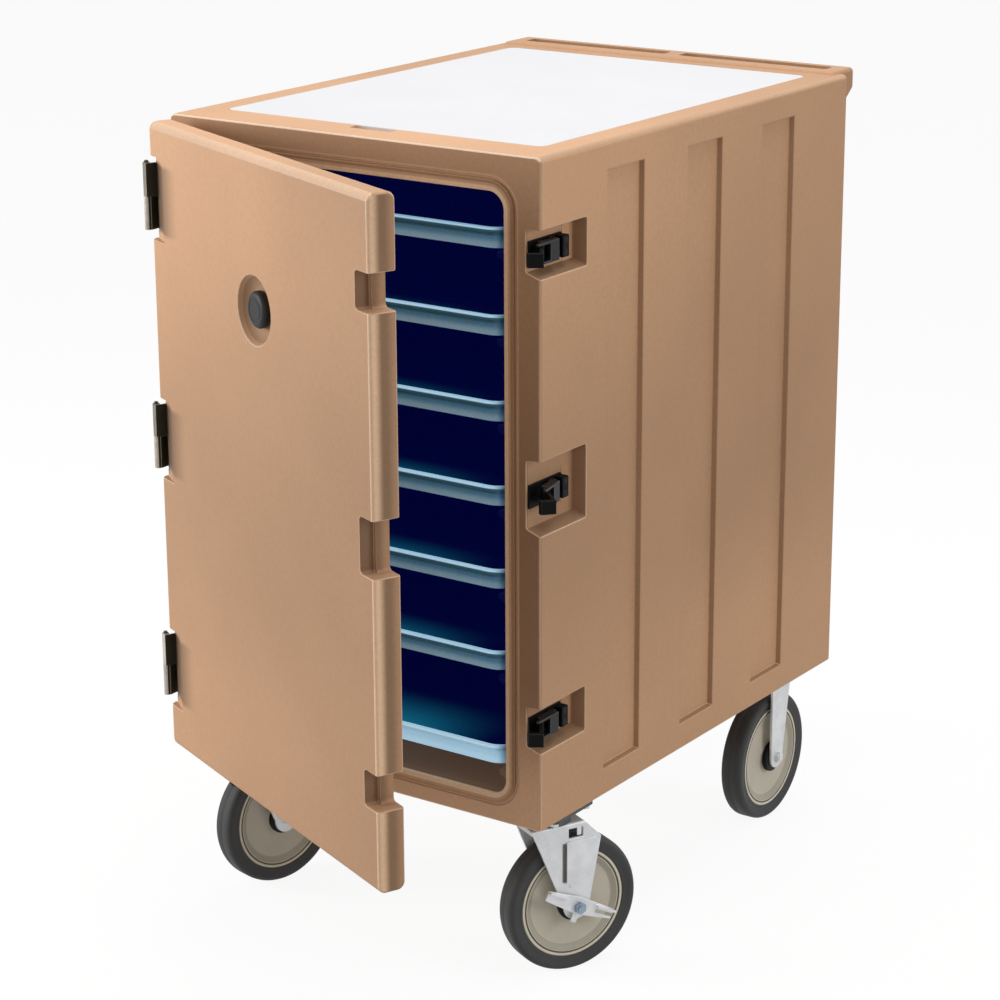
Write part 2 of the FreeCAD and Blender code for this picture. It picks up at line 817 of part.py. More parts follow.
def make_vent():
    z = vent_level
    seat = door_front + dish_depth
    flange = rod(vent_flange_radius, vent_flange, V(0, seat - vent_flange, z), AXIS_Y)
    bush = flange.fuse(rod(vent_bush_radius, door_rear - seat, V(0, seat, z), AXIS_Y))
    bush = bush.cut(rod(vent_stem_radius + running_gap, door_thickness, V(0, door_front, z), AXIS_Y))
    rear = seat - vent_flange - fit_gap
    front = rear - vent_cap_thickness
    cap = rod(vent_cap_radius, vent_cap_thickness, V(0, front, z), AXIS_Y)
    rim = [e for e in cap.Edges if e.CenterOfMass.y < rear - 1 and len(e.Vertexes) == 1]
    cap = cap.makeFillet(vent_cap_round, rim)
    flute = vent_cap_radius * math.pi / vent_rib_count / 2.6
    gap = rod(flute, vent_cap_thickness, V(vent_cap_radius, front - 1, z), AXIS_Y)
    turns = [360.0 * i / vent_rib_count for i in range(vent_rib_count)]
    cap = cap.cut([turned(gap, turn, V(0, 0, z), AXIS_Y) for turn in turns])
    cap = cap.fuse(rod(vent_stem_radius, vent_stem_length, V(0, rear, z), AXIS_Y))
    return {"vent_bush": bush, "vent_cap": cap}


def caster_plate(x, y):
    """A mounting plate with the fixed half of the swivel raceway under it."""
    plate = rounded(plate_block(x, y, plate_bottom, under), plate_corner, AXIS_Z)
    neck = raceway_radius - raceway_draft
    race = Part.makeCone(raceway_radius, neck, raceway_height, V(x, y, raceway_bottom), AXIS_Z)
    hole = rod(kingpin_radius + running_gap, 2 * raceway_height, V(x, y, raceway_bottom - 1), AXIS_Z)
    return plate.fuse(race).cut([hole] + holes_for(caster_bolts()))


def kingpin(x, y):
    """The swivel bolt, with its head under the fork's crown."""
    head_top = crown_bottom - fit_gap
    start = V(x, y, head_top)
    return bolt(kingpin_radius, under - head_top, kingpin_radius * 1.6, kingpin_head, start, AXIS_Z)


def fork_leg(outline, axle_y, boss, side):
    """One leg: an outline from its front edge to its rear edge, and a round end about the axle."""
    z = wheel_radius
    ring = [V(side, axle_y - boss, z)] + [V(side, y, height) for y, height in outline]
    ring.append(V(side, axle_y + boss, z))
    edges = [Part.makeLine(a, b) for a, b in zip(ring, ring[1:])]
    edges.append(Part.Arc(ring[-1], V(side, axle_y, z - boss), ring[0]).toShape())
    return Part.Face(Part.Wire(edges)).extrude(V(fork_plate, 0, 0))


def axle_hole(axle_y):
    return rod(axle_radius + running_gap, 4 * fork_outer, V(-2 * fork_outer, axle_y, wheel_radius), AXIS_X)


def fork_ribs():
    """A pressed rib down the outside of each leg of a swivel fork."""
    low = wheel_radius + fork_boss + fork_rib_margin
    high = crown_bottom - fork_window_drop - fork_window_height - fork_rib_margin
    sink = fork_outer + fork_rib_rise - fork_rib_radius
    ribs = []
    for sign in (-1, 1):
        ends = [V(sign * sink, caster_trail - fork_rib_lead, z) for z in (low, high)]
        bar = rod(fork_rib_radius, high - low, ends[0], AXIS_Z)
        bar = bar.fuse([Part.makeSphere(fork_rib_radius, end) for end in ends])
        outside = block(fork_inner, 2 * fork_outer, -crown_front, heel_reach, 0, crown_top)
        ribs.append(bar.common(outside if sign > 0 else mirrored(outside)))
    return ribs


def swivel_fork():
    """The turning fork at its straight-ahead angle, about a pivot at X = Y = 0."""
    outline = [(-crown_front, crown_top), (crown_rear, crown_top), (heel_reach, crown_top - heel_drop)]
    legs = [fork_leg(outline, caster_trail, fork_boss, side) for side in (fork_inner, -fork_outer)]
    crown = block(-fork_outer, fork_outer, -crown_front, crown_rear, crown_bottom, crown_top)
    fork = crown.fuse(legs).removeSplitter()
    bends = [e for e in fork.Edges if abs(abs(e.CenterOfMass.x) - fork_outer) < 0.01
             and e.CenterOfMass.z > crown_top - 0.01]
    fork = fork.makeFillet(fork_plate, bends).fuse(fork_ribs())
    hole = rod(kingpin_radius + running_gap, 2 * crown_thickness, V(0, 0, crown_bottom - 1), AXIS_Z)
    window_top = crown_bottom - fork_window_drop
    window = block(-2 * fork_outer, 2 * fork_outer, fork_window_front, fork_window_front + fork_window_length,
                   window_top - fork_window_height, window_top)
    return fork.cut([hole, window, axle_hole(caster_trail)])


def rigid_fork():
    """The fixed rear bracket: a mounting plate with two upright legs, at X = Y = 0."""
    plate = rounded(plate_block(0, 0, plate_bottom, under), plate_corner, AXIS_Z)
    outline = [(-rigid_boss, plate_bottom), (rigid_leg_rear, plate_bottom)]
    legs = [fork_leg(outline, 0, rigid_boss, side) for side in (fork_inner, -fork_outer)]
    return plate.fuse(legs).cut(axle_hole(0))


def axle(axle_y, extra):
    """A through bolt with a nut; the nut end is longer where a brake sits on it."""
    start = V(-fork_outer, axle_y, wheel_radius)
    end = V(fork_outer + extra, axle_y, wheel_radius)
    length = 2 * fork_outer + extra + axle_end
    pin = bolt(axle_radius, length, axle_radius * 1.7, axle_head, start, AXIS_X)
    nut = hexagon(axle_radius * 1.7, axle_nut, end + V(fit_gap, 0, 0), AXIS_X)
    return pin.fuse(nut)


def wheel_core(axle_y):
    """The moulded wheel centre: hub, thin web and a raised rim."""
    bore = axle_radius + running_gap
    rim = core_radius - core_rim
    half = [(bore, hub_width / 2), (hub_radius, hub_width / 2),
            (hub_radius + hub_flare, web_half + hub_flare), (rim - core_rim_slope, web_half),
            (rim, core_width / 2 - core_rim_step), (core_radius, core_width / 2)]
    points = [V(x, axle_y, wheel_radius + r) for r, x in half]
    points += [V(-x, axle_y, wheel_radius + r) for r, x in reversed(half)]
    face = Part.Face(Part.makePolygon(points + points[:1]))
    return face.revolve(V(0, axle_y, wheel_radius), AXIS_X, 360)


def tyre(axle_y):
    """A solid tyre with a flat tread and round shoulders."""
    half = wheel_width / 2
    tread = half - tread_shoulder
    flank = wheel_radius - tyre_flank

    def at(r, x):
        return V(x, axle_y, wheel_radius + r)

    bore = core_radius + running_gap
    shoulder = (wheel_radius - shoulder_sag, half - shoulder_sag)
    edges = [Part.makeLine(at(bore, -core_width / 2), at(bore, core_width / 2)),
             Part.makeLine(at(bore, core_width / 2), at(flank, half)),
             Part.Arc(at(flank, half), at(*shoulder), at(wheel_radius, tread)).toShape(),
             Part.makeLine(at(wheel_radius, tread), at(wheel_radius, -tread)),
             Part.Arc(at(wheel_radius, -tread), at(shoulder[0], -shoulder[1]), at(flank, -half)).toShape(),
             Part.makeLine(at(flank, -half), at(bore, -core_width / 2))]
    return Part.Face(Part.Wire(edges)).revolve(V(0, axle_y, wheel_radius), AXIS_X, 360)


def brake_lever():
    """A two-winged cam lever on the axle's outer end: a foot wing in front, a slotted one behind."""
    x0 = fork_outer + fit_gap
    x1 = x0 + brake_hub
    arm = x1 - brake_arm
    y, z = caster_trail, wheel_radius
    parts = []
    for sign in (-1, 1):
        tip = y + sign * brake_reach
        wing = [V(arm, y, z + brake_rise), V(arm, tip, z + brake_tip_rise),
                V(arm, tip, z - brake_tip_drop), V(arm, y, z - brake_root_drop)]
        near, far = sorted((tip - sign * brake_flange_length, tip))
        edge = z + brake_tip_rise
        flange = block(arm, x1 + brake_flange, near, far, edge - brake_arm, edge)
        parts += [prism(wing, V(brake_arm, 0, 0)), flange]
    half = brake_foot_width / 2
    parts.append(block(arm, x1, y - half, y + half, z - brake_foot_drop, z))
    hub = rod(brake_hub_radius, brake_hub, V(x0, y, z), AXIS_X)
    slot_end = y + brake_reach + 1
    slot_low = z + (brake_tip_rise - brake_arm - brake_tip_drop - brake_slot) / 2
    slot = block(arm - 1, x1 + 1, slot_end - brake_slot_length, slot_end, slot_low, slot_low + brake_slot)
    lever = hub.fuse(parts).cut([slot, axle_hole(y)])
    return turned(lever, -brake_tilt, V(0, y, z), AXIS_X)


def place_caster(shape, x, y, angle):
    moved = turned(shape, angle, V(0, 0, 0))
    moved.translate(V(x, y, 0))
    return moved


def make_casters():
    pieces = {}
    kingpins = []
    rear_axles = []
    brake_room = brake_hub + fit_gap
    for name, sign, angle in (("left", -1, swivel_left), ("right", 1, swivel_right)):
        x = sign * front_caster_x
        room = brake_room if sign > 0 else 0
        moving = {"front_fork": swivel_fork(), "front_axle": axle(caster_trail, room),
                  "front_wheel_core": wheel_core(caster_trail), "front_tyre": tyre(caster_trail)}
        if sign > 0:
            moving["brake_lever"] = brake_lever()
        for part_name, shape in moving.items():
            pieces[part_name + "_" + name] = place_caster(shape, x, front_caster_y, angle)
        pieces["caster_plate_" + name] = caster_plate(x, front_caster_y)
        kingpins.append(kingpin(x, front_caster_y))
        x = sign * rear_caster_x
        bracket = place_caster(rigid_fork(), x, rear_caster_y, 0)
        pieces["rear_fork_" + name] = bracket.cut(holes_for(caster_bolts()))
        pieces["rear_wheel_core_" + name] = place_caster(wheel_core(0), x, rear_caster_y, 0)
        pieces["rear_tyre_" + name] = place_caster(tyre(0), x, rear_caster_y, 0)
        rear_axles.append(place_caster(axle(0, 0), x, rear_caster_y, 0))
    pieces["kingpins"] = Part.makeCompound(kingpins)
    pieces["rear_axles"] = Part.makeCompound(rear_axles)
    pieces["caster_bolts"] = Part.makeCompound(caster_bolts())
    return pieces


def make_latches():
    pieces = {}
    base_pivot = V(latch_pivot_x, latch_pivot_depth, 0)
    hook_pivot = V(hook_pivot_x, hook_pivot_y, 0)
    for name, level, rest in zip(place_names, latch_levels, lever_rest_angles):
        pieces["latch_base_" + name] = make_latch_base(level)
        pieces["latch_lever_" + name] = turned(make_lever(level), rest, base_pivot)
        hook = turned(make_hook(level), hook_rest_angle, hook_pivot)
        pieces["latch_hook_" + name] = turned(hook, rest, base_pivot)
    pieces["latch_pins"] = Part.makeCompound([latch_base_pin(level) for level in latch_levels])
    pieces["latch_screws"] = Part.makeCompound(latch_screws())
    return pieces


def make_hinges():
    pieces = {}
    for name, level in zip(place_names, hinge_levels):
        pieces["hinge_body_leaf_" + name] = body_leaf(level)
    pieces["hinge_pins"] = Part.makeCompound([hinge_pin(level) for level in hinge_levels])
    pieces["hinge_body_screws"] = Part.makeCompound(hinge_screws_in_body())
    return pieces


def make_door_group():
    """Everything that swings with the door, turned from closed to its ajar rest angle."""
    pieces = make_door()
    pieces.update(make_vent())
    for name, level in zip(place_names, hinge_levels):
        pieces["hinge_door_leaf_" + name] = door_leaf(level)
    pieces["hinge_door_screws"] = Part.makeCompound(hinge_screws_in_door())
    axis_point = V(hinge_x, hinge_y, 0)
    return {name: turned(shape, -door_rest_angle, axis_point) for name, shape in pieces.items()}


def make_cart():
    pieces = make_body()
    pieces.update(make_liner())
    for i, level in enumerate(tray_levels):
        pieces["tray_%d" % (i + 1)] = make_tray(level)
    pieces.update(make_board())
    pieces.update(make_hinges())
    pieces.update(make_latches())
    pieces.update(make_casters())
    pieces.update(make_door_group())
    return pieces


cart = make_cart()
extent = Part.makeCompound(list(cart.values())).optimalBoundingBox(False, False)
origin_shift = V(-extent.Center.x, -extent.Center.y, -extent.ZMin)
os.makedirs("parts", exist_ok=True)
for node, piece in cart.items():
    piece.translate(origin_shift)
    piece.exportStep("parts/%s.step" % node)
    print(node, "solids", len(piece.Solids), "valid", piece.isValid(), "volume %.0f" % piece.Volume)
print("nodes", len(cart), "size", extent.XLength, extent.YLength, extent.ZLength)
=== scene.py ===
import json
import math
import bpy
from mathutils import Matrix, Vector


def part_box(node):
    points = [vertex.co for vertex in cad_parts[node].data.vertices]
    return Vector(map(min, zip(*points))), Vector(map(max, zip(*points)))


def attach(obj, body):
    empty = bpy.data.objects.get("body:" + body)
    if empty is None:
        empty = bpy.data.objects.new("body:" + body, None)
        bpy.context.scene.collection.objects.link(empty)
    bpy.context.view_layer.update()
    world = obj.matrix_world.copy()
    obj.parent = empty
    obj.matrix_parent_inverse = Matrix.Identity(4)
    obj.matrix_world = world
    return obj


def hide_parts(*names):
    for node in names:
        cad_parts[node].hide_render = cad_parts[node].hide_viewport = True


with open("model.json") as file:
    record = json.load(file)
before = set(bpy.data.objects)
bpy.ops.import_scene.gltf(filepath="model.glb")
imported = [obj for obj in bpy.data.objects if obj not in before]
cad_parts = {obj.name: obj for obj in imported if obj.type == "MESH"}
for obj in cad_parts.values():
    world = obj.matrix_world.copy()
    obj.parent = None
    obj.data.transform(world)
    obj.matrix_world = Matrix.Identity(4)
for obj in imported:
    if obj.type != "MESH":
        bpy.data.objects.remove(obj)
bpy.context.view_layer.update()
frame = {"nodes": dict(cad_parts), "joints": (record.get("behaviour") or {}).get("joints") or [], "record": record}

nodes = frame["nodes"]
bpy.ops.object.select_all(action="DESELECT")
print("frame loaded with", len(nodes), "nodes")

# the body's front bottom middle is the reference for camera and patterns
shellLow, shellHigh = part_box("body_shell")
middleX = (shellLow.x + shellHigh.x) / 2
frontY = shellLow.y
underZ = shellLow.z
places = ("lower", "middle", "upper")  # of the hinges and latches
sides = ("left", "right")  # of the casters
mmPerMetre = 1000


# node helpers

def feed(tree, node, values):  # a socket is linked, anything else is set
    for key, value in values.items():
        if isinstance(value, bpy.types.NodeSocket):
            tree.links.new(value, node.inputs[key])
        else:
            node.inputs[key].default_value = value


def addNode(tree, kind, values=None, settings=None):
    node = tree.nodes.new(kind)
    for key, value in (settings or {}).items():
        setattr(node, key, value)
    feed(tree, node, values or {})
    return node


def mathStep(tree, operation, first, second):
    return addNode(tree, "ShaderNodeMath", {0: first, 1: second}, {"operation": operation}).outputs[0]


def startTree(owner):  # an empty node tree of a world or a material
    owner.use_nodes = True
    owner.node_tree.nodes.clear()
    return owner.node_tree


# camera, lights and floor

cameraSettings = {
    "place": (2.7052, -3.4730, 1.8521),  # metres from the reference
    "yaw": 34.879, "pitch": 17.242, "roll": -0.259,  # degrees
    "lens": 103.72, "sensor": 36,  # millimetres
}


def makeCamera(s):
    bpy.ops.object.camera_add()
    camera = bpy.context.object
    camera.name = "photoCamera"
    camera.data.lens = s["lens"]
    camera.data.sensor_width = s["sensor"]
    turn = Matrix.Rotation(math.radians(s["yaw"]), 4, "Z")
    turn = turn @ Matrix.Rotation(math.radians(90 - s["pitch"]), 4, "X")
    turn = turn @ Matrix.Rotation(math.radians(s["roll"]), 4, "Z")
    place = Vector((middleX, frontY, underZ)) + Vector(s["place"])
    camera.matrix_world = Matrix.Translation(place) @ turn
    bpy.context.scene.camera = camera


lightSettings = {
    "aim": (0.0, 0.35, 0.75),
    "key": {"place": (-4.2, -2.6, 1.9), "size": 2.4, "power": 156},
    "side": {"place": (4.6, 1.3, 2.0), "size": 2.4, "power": 51},
    "above": {"place": (0.3, 0.5, 4.4), "size": 3.0, "power": 80},
    "world": {"colour": (1, 1, 1, 1), "strength": 0.37},
}


def makeLights(s):
    aim = Vector((middleX, frontY, 0)) + Vector(s["aim"])
    for name in ("key", "side", "above"):
        place = Vector((middleX, frontY, 0)) + Vector(s[name]["place"])
        bpy.ops.object.light_add(type="AREA", location=place)
        lamp = bpy.context.object
        lamp.name = name + "Light"
        lamp.data.shape = "DISK"
        lamp.data.size = s[name]["size"]
        lamp.data.energy = s[name]["power"]
        lamp.rotation_euler = (aim - place).to_track_quat("-Z", "Y").to_euler()


def mixBySight(tree, lighting, shown, out):  # one shader lights the cart, the other is what is seen
    path = addNode(tree, "ShaderNodeLightPath")
    seen = path.outputs["Is Camera Ray"]
    for ray in ("Is Glossy Ray", "Is Transmission Ray"):
        seen = mathStep(tree, "MAXIMUM", seen, path.outputs[ray])
    mix = addNode(tree, "ShaderNodeMixShader", {0: seen, 1: lighting.outputs[0], 2: shown.outputs[0]})
    feed(tree, out, {"Surface": mix.outputs[0]})


def makeWorld(s):
    world = bpy.data.worlds.new("studioWorld")
    bpy.context.scene.world = world
    tree = startTree(world)
    lighting = addNode(tree, "ShaderNodeBackground", {"Color": s["colour"], "Strength": s["strength"]})
    shown = addNode(tree, "ShaderNodeBackground", {"Color": s["colour"]})
    mixBySight(tree, lighting, shown, addNode(tree, "ShaderNodeOutputWorld"))


floorSettings = {"size": 60, "drop": 0.0004, "bounce": 0.50, "glow": 0.91, "shadow": 0.11}


def makeFloor(s):
    bpy.ops.mesh.primitive_plane_add(size=s["size"], location=(0, 0, -s["drop"]))
    floor = bpy.context.object
    floor.name = "studioFloor"
    material = bpy.data.materials.new("studioFloor")
    tree = startTree(material)
    bounce = addNode(tree, "ShaderNodeBsdfDiffuse", {"Color": (s["bounce"],) * 3 + (1,)})
    shade = addNode(tree, "ShaderNodeBsdfDiffuse", {"Color": (s["shadow"],) * 3 + (1,)})
    glow = addNode(tree, "ShaderNodeEmission", {"Strength": s["glow"]})
    shown = addNode(tree, "ShaderNodeAddShader", {0: glow.outputs[0], 1: shade.outputs[0]})
    mixBySight(tree, bounce, shown, addNode(tree, "ShaderNodeOutputMaterial"))
    floor.data.materials.append(material)


makeCamera(cameraSettings)
makeLights(lightSettings)
makeWorld(lightSettings["world"])
makeFloor(floorSettings)
bpy.context.scene.view_settings.view_transform = "Standard"
print("stage ready")


# shader groups shared by several finishes

def newGroup(name, inputs, outputs):
    group = bpy.data.node_groups.new(name, "ShaderNodeTree")
    for label, kind, value in inputs:
        socket = group.interface.new_socket(label, in_out="INPUT", socket_type=kind)
        if value is not None:
            socket.default_value = value
    for label, kind in outputs:
        group.interface.new_socket(label, in_out="OUTPUT", socket_type=kind)
    start = group.nodes.new("NodeGroupInput")
    end = group.nodes.new("NodeGroupOutput")
    return group, start.outputs, end


def placeGroup(tree, group, values):
    return addNode(tree, "ShaderNodeGroup", values, {"node_tree": group}).outputs


grainSettings = {
    "Fine": {"scale": 420.0, "detail": 2.0, "roughness": 0.6},
    "Coarse": {"scale": 120.0, "detail": 4.0, "roughness": 0.65},
    "Cloud": {"scale": 4.0, "detail": 2.0, "roughness": 0.5},
    "blend": 0.45, "crisp": (0.36, 0.64), "slow": (0.35, 0.65),
}


def makeMouldGrain(s):  # fine speckle over slow clouds, with a height for bump
    labels = ("Fine", "Coarse", "Cloud")
    group, start, end = newGroup(
        "mouldGrain",
        [("Vector", "NodeSocketVector", None)] + [(label, "NodeSocketFloat", s[label]["scale"]) for label in labels],
        [(label, "NodeSocketFloat") for label in ("Speckle", "Clouds", "Height")])
    fine, coarse, cloud = (
        addNode(group, "ShaderNodeTexNoise", {
            "Vector": start["Vector"], "Scale": start[label],
            "Detail": s[label]["detail"], "Roughness": s[label]["roughness"]}).outputs["Fac"]
        for label in labels)
    both = addNode(group, "ShaderNodeMix", {"Factor": s["blend"], "A": coarse, "B": fine},
                   {"data_type": "FLOAT"}).outputs["Result"]

    def stretch(value, band):
        return addNode(group, "ShaderNodeMapRange", {
            "Value": value, "From Min": band[0], "From Max": band[1]}).outputs["Result"]

    feed(group, end, {"Speckle": stretch(both, s["crisp"]), "Clouds": stretch(cloud, s["slow"]), "Height": both})
    return group


def makeTintSpread():  # lightens and darkens a colour by two masks
    group, start, end = newGroup(
        "tintSpread",
        [("Color", "NodeSocketColor", (0.5, 0.5, 0.5, 1)), ("Speckle", "NodeSocketFloat", 0.5),
         ("Clouds", "NodeSocketFloat", 0.5), ("Speckle Amount", "NodeSocketFloat", 0.1),
         ("Cloud Amount", "NodeSocketFloat", 0.05)],
        [("Color", "NodeSocketColor")])

    def swing(mask, amount):  # 1 + (mask - 0.5) * amount
        shift = mathStep(group, "SUBTRACT", start[mask], 0.5)
        return addNode(group, "ShaderNodeMath", {0: shift, 1: start[amount], 2: 1.0},
                       {"operation": "MULTIPLY_ADD"}).outputs[0]

    both = mathStep(group, "MULTIPLY", swing("Speckle", "Speckle Amount"), swing("Clouds", "Cloud Amount"))
    scaled = addNode(group, "ShaderNodeVectorMath", {0: start["Color"], "Scale": both}, {"operation": "SCALE"})
    feed(group, end, {"Color": scaled.outputs[0]})
    return group


def makeRampAlong():  # 0 before a place on an axis, 1 after it, smooth between
    group, start, end = newGroup(
        "rampAlong",
        [("Value", "NodeSocketFloat", 0.0), ("From", "NodeSocketFloat", 0.0), ("To", "NodeSocketFloat", 1.0)],
        [("Mask", "NodeSocketFloat")])
    ramp = addNode(group, "ShaderNodeMapRange", {
        "Value": start["Value"], "From Min": start["From"], "From Max": start["To"]},
        {"interpolation_type": "SMOOTHSTEP"})
    feed(group, end, {"Mask": ramp.outputs["Result"]})
    return group


def makeOutlineGap():  # distance from an upright outline with round corners, below zero inside it
    group, start, end = newGroup(
        "outlineGap",
        [("Vector", "NodeSocketVector", None), ("Middle", "NodeSocketVector", None),
         ("Half", "NodeSocketVector", None), ("Radius", "NodeSocketFloat", 0.02)],
        [("Gap", "NodeSocketFloat")])

    def vectorStep(operation, first, second=(0, 0, 0)):
        return addNode(group, "ShaderNodeVectorMath", {0: first, 1: second}, {"operation": operation}).outputs

    fromMiddle = vectorStep("SUBTRACT", start["Vector"], start["Middle"])
    aside = vectorStep("ABSOLUTE", fromMiddle[0])
    past = vectorStep("SUBTRACT", aside[0], start["Half"])
    flat = vectorStep("MULTIPLY", past[0], (1, 0, 1))
    corner = vectorStep("LENGTH", vectorStep("MAXIMUM", flat[0])[0])
    parts = addNode(group, "ShaderNodeSeparateXYZ", {0: flat[0]}).outputs
    inside = mathStep(group, "MINIMUM", mathStep(group, "MAXIMUM", parts["X"], parts["Z"]), 0.0)
    both = mathStep(group, "ADD", corner["Value"], inside)
    feed(group, end, {"Gap": mathStep(group, "SUBTRACT", both, start["Radius"])})
    return group


mouldGrain = makeMouldGrain(grainSettings)
tintSpread = makeTintSpread()
rampAlong = makeRampAlong()
outlineGap = makeOutlineGap()
print("shader groups ready")


# finishes

plainSettings = {"metal": 0.0, "gloss": 0.5}  # where a finish names none


def startFinish(name, s):  # grain, roughness and bump, with no colour yet
    material = bpy.data.materials.new(name)
    tree = startTree(material)
    full = plainSettings | s
    shader = addNode(tree, "ShaderNodeBsdfPrincipled", {
        "Metallic": full["metal"], "Specular IOR Level": full["gloss"]})
    addNode(tree, "ShaderNodeOutputMaterial", {"Surface": shader.outputs[0]})
    place = addNode(tree, "ShaderNodeTexCoord").outputs["Object"]
    grain = placeGroup(tree, mouldGrain, {
        "Vector": place, "Fine": s["fine"], "Coarse": s["coarse"], "Cloud": s["cloud"]})
    rough = addNode(tree, "ShaderNodeMapRange", {
        "Value": grain["Speckle"], "To Min": s["rough"][0], "To Max": s["rough"][1]})
    bump = addNode(tree, "ShaderNodeBump", {
        "Height": grain["Height"], "Strength": s["bump"], "Distance": s["depth"]})
    feed(tree, shader, {"Roughness": rough.outputs["Result"], "Normal": bump.outputs["Normal"]})
    return material, tree, shader, place, grain


def opaque(colour):  # a colour is a tuple or a socket
    return colour + (1,) if isinstance(colour, tuple) else colour


def addTint(tree, shader, grain, s, colour):
    tint = placeGroup(tree, tintSpread, {
        "Color": opaque(colour), "Speckle": grain["Speckle"], "Clouds": grain["Clouds"],
        "Speckle Amount": s["speckle"], "Cloud Amount": s["clouds"]})
    feed(tree, shader, {"Base Color": tint["Color"]})


def addGlow(tree, shader, colour):
    feed(tree, shader, {"Emission Color": colour, "Emission Strength": 1.0})


def mouldedFinish(name, s):
    material, tree, shader, place, grain = startFinish(name, s)
    addTint(tree, shader, grain, s, s["colour"])
    return material


def splitPlace(tree, place):
    return addNode(tree, "ShaderNodeSeparateXYZ", {0: place}).outputs


def alongPlace(tree, place, direction):  # distance along a direction
    return addNode(tree, "ShaderNodeVectorMath", {0: place, 1: direction},
                   {"operation": "DOT_PRODUCT"}).outputs["Value"]


def rampMask(tree, value, band, origin=0.0):
    return placeGroup(tree, rampAlong, {
        "Value": value, "From": origin + band[0], "To": origin + band[1]})["Mask"]


mixSockets = {"mask": 0, "first": 6, "second": 7, "result": 2}  # of a Mix node set to colours


def mixColours(tree, mask, first, second):
    mix = addNode(tree, "ShaderNodeMix", None, {"data_type": "RGBA"})
    feed(tree, mix, {
        mixSockets["mask"]: mask, mixSockets["first"]: opaque(first), mixSockets["second"]: opaque(second)})
    return mix.outputs[mixSockets["result"]]


def timesMask(tree, first, second):
    return mathStep(tree, "MULTIPLY", first, second)


sandSettings = {
    "colour": (0.555, 0.322, 0.183), "speckle": 0.13, "clouds": 0.07, "rough": (0.50, 0.66), "gloss": 0.24,
    "fine": 520.0, "coarse": 130.0, "cloud": 3.5, "bump": 0.22, "depth": 0.0009,
}
highlightSettings = sandSettings | {"rough": (0.42, 0.56)}  # painted highlights on rounded edges, which are also smoother than faces


# painted light: the large mouldings are painted paler towards the top and the foot, where more light reaches them,
# and a little lighter on one side than the other
lightFallSettings = {
    "topBand": (0.80, 1.36), "footBand": (0.74, 0.40),
    "shell": {"middle": ((0.505, 0.293, 0.1665), (0.495, 0.287, 0.163)),
              "top": ((0.713, 0.414, 0.235), (0.558, 0.324, 0.184)),
              "foot": ((0.614, 0.356, 0.203), (0.638, 0.370, 0.210))},
    "door": {"middle": ((0.525, 0.305, 0.173), (0.480, 0.278, 0.158)),
             "top": ((0.755, 0.438, 0.249), (0.590, 0.342, 0.194)),
             "foot": ((0.597, 0.346, 0.197), (0.515, 0.298, 0.170))},
}


def addLightFall(tree, height, across, tones, s):
    tone = {key: mixColours(tree, across, *pair) for key, pair in tones.items()}
    colour = mixColours(tree, rampMask(tree, height, s["topBand"]), tone["middle"], tone["top"])
    return mixColours(tree, rampMask(tree, height, s["footBand"]), colour, tone["foot"])


# painted highlights and painted shade round the compartment's mouth: where they rise and fall outside it, and their
# tone
mouthSettings = {
    "width": 0.017, "radius": 0.028, "foot": (0.012, 0.045),
    "creaseShade": ((0.0100, 0.0125), (0.0185, 0.0165), (0.42, 0.245, 0.14)),
    "glint": ((0.0175, 0.0195), (0.0260, 0.0235), (0.66, 0.40, 0.24)),
    "bands": (((0.0130, 0.0105), (0.66, 0.41, 0.245)), ((0.0088, 0.0062), (0.95, 0.66, 0.43)),
              ((-0.0005, -0.0015), (0.62, 0.37, 0.22))),
}


def addMouth(tree, place, colour, s):
    low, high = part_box("body_liner")
    middle, half = (low + high) / 2, (high - low) / 2 - Vector((1, 1, 1)) * (s["width"] + s["radius"])
    gap = placeGroup(tree, outlineGap, {
        "Vector": place, "Middle": middle, "Half": half, "Radius": s["radius"]})["Gap"]
    aboveFoot = rampMask(tree, splitPlace(tree, place)["Z"], s["foot"], low.z)
    # a painted shade line and a painted highlight line, faded out towards the foot
    for rise, fall, tone in (s["creaseShade"], s["glint"]):
        mask = timesMask(tree, rampMask(tree, gap, rise), rampMask(tree, gap, fall))
        colour = mixColours(tree, timesMask(tree, mask, aboveFoot), colour, tone)
    # painted highlight bands on the lip
    for band, tone in s["bands"]:
        colour = mixColours(tree, rampMask(tree, gap, band), colour, tone)
    return colour


# the body's front takes painted shade below its header and painted light at its foot, below the mouth
shellSettings = sandSettings | {
    "front": (0.51, 0.30, 0.17), "frontDepth": (0.006, 0.003),
    "frontShade": (0.37, 0.218, 0.124), "shadeBand": (1.19, 0.86),
    "frontFoot": (0.80, 0.49, 0.29), "footLightBand": (0.55, 0.345), "rearEnd": 0.25,
}


def makeShellFinish(s):
    material, tree, shader, place, grain = startFinish("shellPlastic", s)
    parts = splitPlace(tree, place)
    across = rampMask(tree, parts["Y"], (frontY, shellHigh.y - s["rearEnd"]))
    # painted light over the body, from top to foot and from front to rear
    colour = addLightFall(tree, parts["Z"], across, lightFallSettings["shell"], lightFallSettings)
    atFront = rampMask(tree, parts["Y"], s["frontDepth"], frontY)
    # painted shade down the front, painted light at its foot
    front = mixColours(tree, rampMask(tree, parts["Z"], s["shadeBand"]), s["front"], s["frontShade"])
    front = mixColours(tree, rampMask(tree, parts["Z"], s["footLightBand"]), front, s["frontFoot"])
    front = addMouth(tree, place, front, mouthSettings)
    addTint(tree, shader, grain, s, mixColours(tree, atFront, colour, front))
    return material


